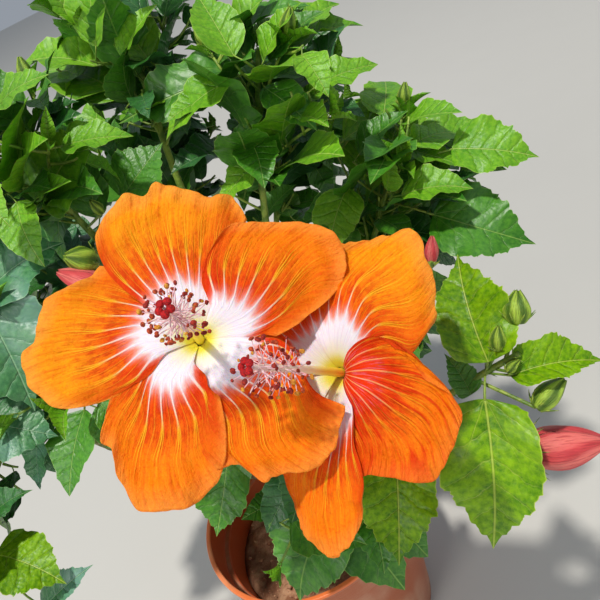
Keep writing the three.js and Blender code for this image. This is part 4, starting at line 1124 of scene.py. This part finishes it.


# Each leaf: root, foot, tip, width in millimetres, kind and fold. Leaves in full light take the first leaf
# kind, a lighter copy of the green: painted light.
PLACED = {
    "front_right": [
        ((156, -160, 372), (149, -166, 371), (114, -200, 290), 56, "painted_sunlit", 0.12),
        ((156, -162, 372), (159, -160, 389), (176, -111, 430), 43, "painted_sunlit", 0.3),
        ((156, -162, 372), (167, -165, 377), (216, -177, 368), 28, "painted_sunlit", 0.6),
        ((140, -149, 356), (146, -152, 364), (143, -137, 388), 18, "mid", 0.4)],
    "front_low": [
        ((64, -128, 306), (93, -147, 346), (63, -188, 303), 50, "painted_sunlit", 0.25),
        ((60, -118, 300), (80, -142, 310), (64, -168, 287), 29, "mid", 0.3),
        ((52, -90, 292), (42, -122, 296), (-16, -142, 248), 60, "mid", 0.2),
        ((48, -66, 284), (-12, -75, 338), (-45, -101, 299), 42, "mid", 0.2)],
    "low_left": [
        ((-172, -60, 354), (-176, -84, 362), (-137, -113, 337), 42, "painted_sunlit", 0.2),
        ((-178, -64, 360), (-167, -81, 386), (-125, -84, 396), 22, "deep", 0.4),
        ((-172, -60, 354), (-172, -100, 312), (-122, -102, 331), 26, "blue", 0.3)],
    "front_left": [
        ((-88, -50, 470), (-90, -34, 506), (-30, -28, 512), 50, "blue", 0.25),
        ((-84, -46, 440), (-88, -42, 509), (-93, -76, 442), 62, "blue", 0.15),
        ((-80, -44, 430), (-128, -66, 446), (-89, -82, 424), 46, "blue", 0.15)],
    "right": [
        ((186, -10, 408), (190, -40, 416), (238, -82, 388), 56, "mid", 0.2),
        ((198, -8, 420), (218, -32, 450), (262, -62, 434), 40, "young", 0.2)],
    "upper_right": [((118, 14, 514), (114, 26, 544), (26, 44, 548), 44, "mid", 0.25)],
    "upper_left": [
        ((-28, 10, 508), (-34, -10, 534), (20, -6, 562), 52, "young", 0.25),
        ((-22, 12, 492), (10, -2, 512), (50, 6, 530), 44, "mid", 0.2)],
}
BLADE = (
    (0.0, 0.14), (0.05, 0.56), (0.13, 0.84), (0.23, 0.98), (0.33, 1.0), (0.42, 0.99), (0.455, 0.9),
    (0.55, 0.86), (0.585, 0.75), (0.68, 0.67), (0.715, 0.55), (0.8, 0.45), (0.835, 0.33), (0.91, 0.19),
    (1.0, 0.0))
BIG_BLADE = (
    (0.0, 0.26), (0.01, 0.60), (0.035, 0.80), (0.09, 0.93), (0.18, 0.99), (0.3, 1.0), (0.42, 1.0),
    (0.5, 0.97), (0.515, 0.86), (0.58, 0.80), (0.64, 0.74), (0.655, 0.61), (0.70, 0.56), (0.76, 0.49),
    (0.775, 0.36), (0.82, 0.30), (0.855, 0.25), (0.868, 0.15), (0.93, 0.07), (1.0, 0.0))
FINER = {"spacing": 0.015, "closeness": 0.42, "sizes": (0.032, 0.070), "tries": 6}
TWIG_REACH, TWIG_RADII, TWIG_LEAVES = (0.012, 0.034), (0.0011, 0.0008), (0.96, 0.72, 0.45)
TUFT_LEAVES, TUFT_SIZES = 3, (0.010, 0.026)
STIPULES, STIPULE_SIZES, STIPULE_RADIUS = (0.55, 0.8, 0.96), (0.006, 0.011), 0.0004
YOUNG_UNTIL, QUILTING, FINE_STEPS, FINE_COLUMNS = 0.2, 0.006, 3, 21


def nearest_on(limb, place):
    spots = np.array([on_limb(limb, mix(0.03, 0.96, i / 40))[0] for i in range(41)])
    return spots[np.argmin(np.linalg.norm(spots - place, axis=1))]


def placed_leaves(name, stem):
    leaves = []
    for root, foot, tip, width, kind, fold in PLACED.get(name, ()):
        root, foot, tip, width = mm(*root), mm(*foot), mm(*tip), width / 1000
        start = nearest_on(stem, root)
        leaves.append({
            "root": start, "start": start, "foot": foot, "tip": tip, "width": width, "stalk": BIG_STALK,
            "facing": unit(EYE - foot) * 0.9 + UP, "kind": kind, "fold": fold})
    return leaves


def finer_leaves(name, limb, index, draw):
    """Smaller leaves between those that the rule sets, on finer twigs that grow from the same limb."""
    length = curve_length(limb["path"])
    leaves, twigs = [], []
    for i in range(round(length / FINER["spacing"])):
        t = mix(0.97, 0.12, (i + draw() * 0.5) * FINER["spacing"] / length)
        if t < 0.1:
            continue
        root, way = on_limb(limb, t)
        for attempt in range(FINER["tries"]):
            turn = i * LEAF_TURN + index * 1.3 + 1.1 + attempt * 1.3
            aim = unit(way_out(way, turn) + way * mix(0.1, 0.6, draw()) + UP * 0.25)
            reach = mix(*TWIG_REACH, draw())
            path = [root, root + aim * reach * 0.6, root + aim * reach + UP * reach * 0.2]
            twig = {"path": path, "steps": 2}
            grown = []
            for spot, share in enumerate(TWIG_LEAVES):
                size = mix(*FINER["sizes"], draw()) * (1.0 if spot else 0.85)
                leaf = leaf_on(twig, share, turn + spot * 2.2, size, draw)
                if not leaf["turns_back"] and leaf_fits(name, leaf, FINER["closeness"]):
                    leaf["stalk"], leaf["age"] = FINER_STALK, 0.4 + draw() * 0.5
                    guard_leaf(leaf, FINER["closeness"])
                    grown.append(leaf)
            if grown:
                leaves += grown
                twigs.append(twig)
                break
    return leaves, twigs


def tuft(limb, draw):
    """Young leaves that unfold round the end of a shoot."""
    tip, way = bezier(limb["path"], 1.0), bezier_way(limb["path"], 1)
    leaves = []
    for i in range(TUFT_LEAVES):
        radial = way_out(way, i * LEAF_TURN + draw())
        size = mix(*TUFT_SIZES, draw())
        foot = tip + (way * 0.6 + radial * 0.5) * size * 0.2
        span = unit(way * mix(0.9, 0.35, draw()) + radial * 0.6 + UP * 0.2)
        leaves.append({
            "root": tip, "start": tip - way * 0.001, "foot": foot, "tip": foot + span * size, "age": 0.0,
            "facing": way - radial * 0.6, "width": size * 0.5, "stalk": YOUNG_STALK, "fold": 0.9})
    return leaves


def blade_mesh(leaf, draw, rows=BLADE, columns=(-1, -0.5, 0, 0.5, 1), fine=False):
    """A leaf's blade as one sheet: folded along its midrib, drooping, wavy and toothed at the margin."""
    axis, length, normal, side = leaf_axes(leaf)
    along = np.array([row[0] for row in rows])[:, None]
    share = np.array([row[1] for row in rows])[:, None]
    u = np.array(columns, float)[None, :]
    fold = leaf.get("fold", mix(0.10, 0.42, draw()))
    droop, swing = mix(0.0, 0.10, draw()), mix(-0.05, 0.05, draw())
    wave, phase, twist = mix(0.02, 0.06, draw()), draw() * 6, mix(-0.25, 0.25, draw())
    skew = mix(0.93, 1.07, draw())
    uneven = np.array([[mix(0.955, 1.045, draw()), mix(0.955, 1.045, draw())] for _ in rows])
    share = share * np.where(u < 0, uneven[:, :1], uneven[:, 1:])
    out = u * share * leaf["width"] / 2 * np.where(u < 0, skew, 2 - skew)
    tooth = along * length + np.abs(u) ** 3 * share * length * 0.035
    ripple = length * wave * np.abs(u) ** 2 * np.sin(along * 15 + phase + u * 1.3) * share
    rise = (length * LEAF_ARCH * 4 * along * (1 - along) - length * droop * along ** 2.2 + np.abs(out) * fold
            + ripple + out * twist * along)
    out = out * (1 - 0.18 * fold * np.abs(u)) + length * swing * 4 * along * (1 - along)
    if fine:
        rise = rise + fine_relief(along, u, share, length)
    points = leaf["foot"] + axis * tooth[..., None] + normal * rise[..., None] + side * out[..., None]
    chart, edge = (np.stack(np.broadcast_arrays(spot, along), -1)
                   for spot in (u * share * leaf["width"] / 2 / length + 0.5, np.abs(u)))
    count, wide = points.shape[:2]
    index = np.arange(count * wide).reshape(count, wide)
    index[-1] = index[-1, wide // 2]
    quads = np.stack([index[:-1, :-1], index[:-1, 1:], index[1:, 1:], index[1:, :-1]], -1).reshape(-1, 4)
    faces = [list(dict.fromkeys(quad)) for quad in quads.tolist()]
    return points.reshape(-1, 3), faces, chart.reshape(-1, 2), edge.reshape(-1, 2)


def fine_relief(along, u, share, length):
    """The blade stands up a little between its side veins."""
    lane = ((along - np.abs(u) * share * 0.22) * 6) % 1 - 0.5
    puff = np.cos(lane * math.pi) * np.sin(np.abs(u) * math.pi)
    return puff * np.minimum(1, share * 1.5) * length * QUILTING


def stalk_mesh(leaf):
    way = unit(leaf["tip"] - leaf["foot"])
    span = np.linalg.norm(leaf["foot"] - leaf["start"])
    bend = mix(leaf["start"], leaf["foot"], 0.55) - way * span * 0.12 + UP * span * 0.06
    path = bezier([leaf["start"], bend, leaf["foot"] + way * 0.001], np.linspace(0, 1, 6))
    return tube(path, leaf["stalk"] * np.array([1.25, 0.95, 0.9, 0.9, 1.0, 1.1]), 5)


def used_rows(points, faces, *maps):
    """The mesh without the points that no face has."""
    kept = sorted({corner for face in faces for corner in face})
    new = {old: spot for spot, old in enumerate(kept)}
    return (points[kept], [[new[corner] for corner in face] for face in faces], *(one[kept] for one in maps))


def leaf_finish(name, light, dark, vein, roughness, bloom, shine):
    """Glossy green: fine pale veins and margin, puffed between the veins, with a pale bluish tint in patches
    that is painted sheen.
    """
    finish = Finish(name)
    chart = finish.chart("blade")
    x, s, _ = finish.parts(chart)
    out, _, _ = finish.parts(finish.chart("edge"))
    patches = finish.grain(finish.place(), 24, 3)
    mottle = finish.grain(chart, 18, 5, 0.62)
    wander = (finish.grain(chart, 8, 2) - 0.5) * 0.09
    off = abs(x - 0.5 + wander * 0.05)
    lane = abs(((s - off * 0.8 + off * off + wander) * 6.0).fraction() - 0.5)
    lateral = lane.between(0.46, 0.498) * off.between(0.40, 0.08)
    palm = abs(off - s * 0.45 - 0.003 + wander * 0.1).between(0.006, 0.001) * s.between(0.45, 0.15)
    midrib = off.between(0.010, 0.004)
    puff = finish.cells(chart, 15).between(0.0, 0.4)
    net = finish.cells(chart, 34).between(0.08, 0.0)
    veins = midrib.most(lateral * 0.5).most(palm * 0.5)
    # The puffed cells are painted a little lighter: painted highlight.
    tone = patches * 0.4 + mottle * 0.62 + puff * 0.05
    paint = finish.coated(
        finish.blend(tone.between(0.36, 0.72), dark, light),
        # The pale bluish tint in patches, as much as bloom says, is painted sheen.
        (bloom * patches.between(0.4, 0.65), tint(120, 158, 158)), (net * 0.1, vein),
        # The light green between the side veins, where the blade stands up, is a painted highlight.
        (lane.between(0.5, 0.36) * off.between(0.02, 0.1) * 0.18, light), (veins * 0.55, vein),
        (out.between(0.965, 1.0) * 0.7, vein))
    height = puff * 0.25 - veins * 0.8 + mottle * 0.4 - lane.between(0.3, 0.5) * 0.6
    return finish.surface(
        paint, mottle * 0.2 + roughness, height, 0.0005, Specular_IOR_Level=shine, Subsurface_Weight=0.08,
        Subsurface_Radius=(0.3, 1.0, 0.1), Subsurface_Scale=0.001)


# Each kind: light, dark and vein colours, roughness, bloom share and shine. The first kind is a lighter,
# yellower copy of the green for leaves that stand in full light: painted light. The bloom share lays a pale
# bluish tint in patches: painted sheen.
LEAF_COLOURS = {
    "painted_sunlit": ((138, 186, 0), (50, 110, 0), (194, 214, 92), 0.28, 0.0, 0.3),
    "young": ((132, 190, 34), (72, 140, 14), (186, 214, 104), 0.32, 0.0, 0.45),
    "mid": ((88, 156, 28), (38, 106, 12), (154, 196, 92), 0.3, 0.06, 0.55),
    "deep": ((56, 124, 34), (22, 78, 20), (120, 170, 94), 0.28, 0.14, 0.55),
    "blue": ((84, 154, 84), (34, 104, 52), (150, 194, 146), 0.34, 0.6, 0.8)}
leaf_skins = {
    kind: leaf_finish(f"leaf_{kind}", tint(*light), tint(*dark), tint(*vein), *gloss)
    for kind, (light, dark, vein, *gloss) in LEAF_COLOURS.items()}
twig_skin = green_finish("twig_green", tint(158, 184, 74), tint(108, 142, 48), 180)
SPRAYS = {
    "front_right": ("young", "mid"), "front_low": ("mid", "deep"), "low_left": ("young", "mid", "deep"),
    "low_back": ("deep", "mid"), "low_right": ("mid", "deep"), "front_left": ("deep", "blue", "mid"),
    "left": ("blue", "deep", "mid"), "back_left": ("deep", "mid", "blue"), "back": ("mid", "deep"),
    "back_right": ("mid", "deep", "mid"), "right": ("mid", "young", "deep"),
    "upper_right": ("mid", "young", "deep"), "upper_left": ("mid", "deep", "young"),
    "top": ("mid", "young", "deep")}
fine_rows = [
    tuple(mix(one, two, step / FINE_STEPS) for one, two in zip(a, b))
    for a, b in zip(BIG_BLADE, BIG_BLADE[1:]) for step in range(FINE_STEPS)] + [BIG_BLADE[-1]]
fine_columns = np.linspace(-1, 1, FINE_COLUMNS)

all_limbs = []
for name, (*_, count, seed) in MASSES.items():
    node, maps = f"foliage_{name}", ["blade", "edge"]
    draw, shape_draw = seeded(seed), seeded(seed + 100)
    shoots = grow_shoots(name, draw)
    big_leaves = placed_leaves(name, shoots[0])
    for leaf in big_leaves:
        guard_leaf(leaf)
    for shoot in shoots:
        guard_limb(shoot["path"], lambda t, shoot=shoot: np.full(np.shape(t), shoot["root"] * 0.6))
    sprays, twigs, stalks = [[] for _ in shoots], [], []
    if count:
        for index, shoot in enumerate(shoots):
            sprays[index] += grow_leaves(name, shoot, index, draw)
        for index, shoot in enumerate(shoots):
            more_leaves, more_twigs = finer_leaves(name, shoot, index, shape_draw)
            sprays[index] += more_leaves + tuft(shoot, shape_draw)
            twigs += more_twigs
    kinds = {}
    for index, spray in enumerate(sprays):
        for leaf in spray:
            kind = "young" if leaf["age"] < YOUNG_UNTIL else SPRAYS[name][index % len(SPRAYS[name])]
            kinds.setdefault(kind, []).append(used_rows(*blade_mesh(leaf, shape_draw)))
            stalks.append(stalk_mesh(leaf))
    for kind, blades in kinds.items():
        made(f"{name}_leaves_{kind}", blades, leaf_skins[kind], [node], maps)
    for number, leaf in enumerate(big_leaves):
        blade = used_rows(*blade_mesh(leaf, shape_draw, fine_rows, fine_columns, True))
        made(f"{name}_big_leaf_{number + 1}", [blade], leaf_skins[leaf["kind"]], [node], maps)
        stalks.append(stalk_mesh(leaf))
    if not count:
        for place in STIPULES:
            spot, way = on_limb(shoots[0], place)
            for turn in np.arange(4) * 1.7 + place * 9:
                aim = unit(way_out(way, turn) + way * 0.8)
                size = mix(*STIPULE_SIZES, shape_draw())
                stalks.append(bract(spot, spot + aim * size, UP * 0.001, STIPULE_RADIUS))
    limbs = [tapering(shoot["path"], 14, shoot["root"] * 0.75, shoot["tip"] * 0.75, 8) for shoot in shoots]
    limbs += [tapering(twig["path"], 6, *TWIG_RADII, 5) for twig in twigs]
    made(f"{name}_twigs", limbs + stalks, twig_skin, [node])
    all_limbs += [(name, shoot) for shoot in shoots]


# The buds
# Ridged green buds on thin stalks, each with a ring of narrow bracts under it. On a few, furled petals
# already stand out of the calyx.
BUDS = (
    ("front_right", (168, -162, 382), (181, -158, 403), (188, -152, 417), 14.5, None),
    ("front_right", (156, -162, 372), (166, -160, 394), (171, -157, 405), 9.5, None),
    ("front_right", (150, -158, 366), (171, -178, 360), (190, -177, 368), 13.5, None),
    ("front_right", (160, -163, 376), (166, -165, 381), (173, -166, 385), 6, None),
    ("front_right", (128, -138, 345), (158, -171, 323), (201, -187, 318), 26, "salmon"),
    ("upper_left", (-24, 12, 490), (-14, -56, 502), (-24, -63, 516), 16, None),
    ("upper_left", (-22, 12, 480), (-10, -73, 487), (-33, -62, 509), 16, "salmon"),
    ("upper_left", (-26, 12, 500), (-2, -23, 516), (-3, -25, 526), 7, None),
    ("right", (150, 0, 390), (165, -86, 412), (173, -82, 427), 9, "salmon"),
)
TIP_BUDS = ("upper_left", "upper_right", "back", "back_left", "back_right", "left", "right", "top")
TIP_BUD_SHOOTS, TIP_BUD_SIZES, TIP_BUD_STALK, TIP_BUD_SLIM = (1, 3), (0.011, 0.017), 0.009, 0.62
BUD_SIDES, BUD_RINGS, BUD_BRACT, BUD_THROAT = 60, 22, 0.0006, 0.0014


def bud_mesh(foot, tip, thickness, ridge=0.13, twist=0.5, lobes=5):
    """A bud of folded lobes, each with a raised ridge, and how far round and along each point lies."""
    way = unit(tip - foot)
    length = np.linalg.norm(tip - foot)
    turns = np.arange(BUD_SIDES) / BUD_SIDES * math.tau
    along = np.linspace(0, 1, BUD_RINGS)
    outline = []
    for t in along:
        body = math.sin(math.pi * mix(0.13, 0.965, t)) ** 0.75 * mix(1.05, 0.9, t)
        crest = 1 - abs(2 * (((turns + t * twist) * lobes / math.tau) % 1) - 1)
        outline.append((thickness / 2 * body + 0.0002, length * t, 1 - ridge / 2 + ridge * crest ** 1.6,
                        0.0016 * crest * t ** 6))
    chart = np.stack([np.tile(turns / math.tau, BUD_RINGS), np.repeat(along, BUD_SIDES)], -1)
    return (*disc_of(outline, foot, way), chart)


def bud_finish(name, crest, shaded_hollow, lines, roughness):
    """Ridges painted lighter and the hollows between them darker, as painted highlight and painted shade, and
    fine lines along the bud.
    """
    finish = Finish(name)
    around, along, _ = finish.parts(finish.chart("bud"))
    grain = finish.grain(finish.chart("bud", (60, 3, 1)), 1.0, 3)
    down = finish.grain(finish.place(), 1500, 2)
    # The lobe mask follows the ridges of the bud's mesh: the crest colour on the ridges is painted highlight,
    # and the darker colour in the hollows is painted shade.
    lobe = abs(((around + along * 0.08) * 5.0).fraction() - 0.5) * 2.0
    paint = finish.coated(
        finish.blend((lobe + (grain - 0.5) * 0.9).between(0.15, 0.85), crest, shaded_hollow),
        (grain.between(0.5, 0.62) * 0.55, lines))
    return finish.surface(paint, roughness, grain + down * 0.2, 0.0009, Subsurface_Weight=0.1,
                          Subsurface_Radius=(0.4, 1.0, 0.2), Subsurface_Scale=0.001)


petal_bud_skin = bud_finish("bud_salmon", tint(240, 120, 112), tint(216, 70, 74), tint(178, 46, 54), 0.62)
green_bud_skin = bud_finish("bud_green", tint(168, 200, 66), tint(74, 112, 20), tint(100, 124, 30), 0.45)
buds = []
for name, root, foot, tip, thickness, colour in BUDS:
    stem = next(limb for owner, limb in all_limbs if owner == name)
    buds.append((name, nearest_on(stem, mm(*root)), mm(*foot), mm(*tip), thickness / 1000, colour))
draw = seeded(31)
for name in TIP_BUDS:
    own = [limb for owner, limb in all_limbs if owner == name]
    for index in TIP_BUD_SHOOTS:
        path = own[index % len(own)]["path"]
        way = unit(bezier_way(path, 1) + UP * 0.4)
        root = bezier(path, 1.0)
        foot = root + way * TIP_BUD_STALK
        size = mix(*TIP_BUD_SIZES, draw())
        buds.append((name, root, foot, foot + way * size, size * TIP_BUD_SLIM, None))
grown = {}
for name, root, foot, tip, thickness, colour in buds:
    way = unit(tip - foot)
    stout = 0.0007 + thickness * 0.03
    green = grown.setdefault((name, "bracts"), [])
    green.append(tapering([root, mix(root, foot, 0.6), foot], 12, stout, stout, 8))
    for i in range(BRACTS):
        radial = way_out(way, i / BRACTS * math.tau)
        start = foot + radial * thickness * 0.15
        end = start + radial * thickness * 0.55 + way * thickness * mix(0.25, 0.55, draw())
        green.append(bract(start, end, way * -0.001, BUD_BRACT))
    if colour:
        cup = lobed_cup(
            foot - way * 0.002, way, thickness * 0.75, thickness * 0.42, BUD_THROAT, flare=1.0)
        green.append(cup)
        grown.setdefault((name, "petals"), []).append(bud_mesh(foot + way * 0.001, tip, thickness, 0.09, 1.6))
    else:
        grown.setdefault((name, "green"), []).append(bud_mesh(foot, tip, thickness))
for (name, kind), parts in grown.items():
    skin = {"bracts": calyx_skin, "petals": petal_bud_skin, "green": green_bud_skin}[kind]
    slot, maps = "bloom" if kind == "petals" else "leaf", [] if kind == "bracts" else ["bud"]
    made(f"{name}_bud_{kind}", parts, skin, [f"foliage_{name}"], maps)


# The floor, the light and the camera
# A plain pale floor. One lamp high above throws the shadows as the photo has them, a weak one at the left
# in front opens them a little, and pale air all around fills them.
bpy.ops.object.select_all(action="DESELECT")
bpy.ops.mesh.primitive_plane_add(size=30, location=(0, 0, 0))
floor = bpy.context.object
floor.name = "floor"
floor_finish = Finish("pale_floor")
floor_grain = floor_finish.grain(floor_finish.place(), 9, 4)
floor.data.materials.append(floor_finish.surface(
    floor_finish.blend(floor_grain * 0.3, tint(206, 204, 198), tint(196, 194, 188)), 0.85))

for name, way, middle, away, size, power, colour in (
        ("key", (-0.10, -0.24, 0.97), (0.02, -0.06, 0.4), 8, 0.45, 520, (1.0, 0.965, 0.9)),
        ("fill", (-0.6, -0.6, 0.53), (0, 0, 0.3), 3, 1.2, 22, (1.0, 0.97, 0.92))):
    way = Vector(way).normalized()
    lamp = bpy.data.lights.new(name, "AREA")
    lamp.shape, lamp.size, lamp.energy, lamp.color = "DISK", size, power, colour
    hung = bpy.data.objects.new(name, lamp)
    hung.location = Vector(middle) + way * away
    hung.rotation_euler = way.to_track_quat("Z", "Y").to_euler()
    bpy.context.scene.collection.objects.link(hung)

world = bpy.data.worlds.new("air")
world.use_nodes = True
air = world.node_tree.nodes["Background"]
air.inputs["Color"].default_value = (0.80, 0.88, 1.0, 1.0)
air.inputs["Strength"].default_value = 0.36
bpy.context.scene.world = world

PITCH, ROLL, VIEW_ANGLE = math.radians(32.68), math.radians(27.08), math.radians(50)
CAMERA_PLACE = (0.0828, -0.4145, 0.6438)
level = Vector((1, 0, 0))
rising = Vector((0, math.sin(PITCH), math.cos(PITCH)))
camera_right = level * math.cos(ROLL) - rising * math.sin(ROLL)
camera_up = level * math.sin(ROLL) + rising * math.cos(ROLL)
camera_back = Vector((0, -math.cos(PITCH), math.sin(PITCH)))
camera_data = bpy.data.cameras.new("camera")
camera_data.sensor_fit, camera_data.angle = "AUTO", VIEW_ANGLE
camera_data.clip_start = 0.01
camera = bpy.data.objects.new("camera", camera_data)
bpy.context.scene.collection.objects.link(camera)
camera.matrix_world = Matrix.Translation(CAMERA_PLACE) @ Matrix(
    (camera_right, camera_up, camera_back)).transposed().to_4x4()
bpy.context.scene.camera = camera
bpy.context.scene.view_settings.view_transform = "Standard"
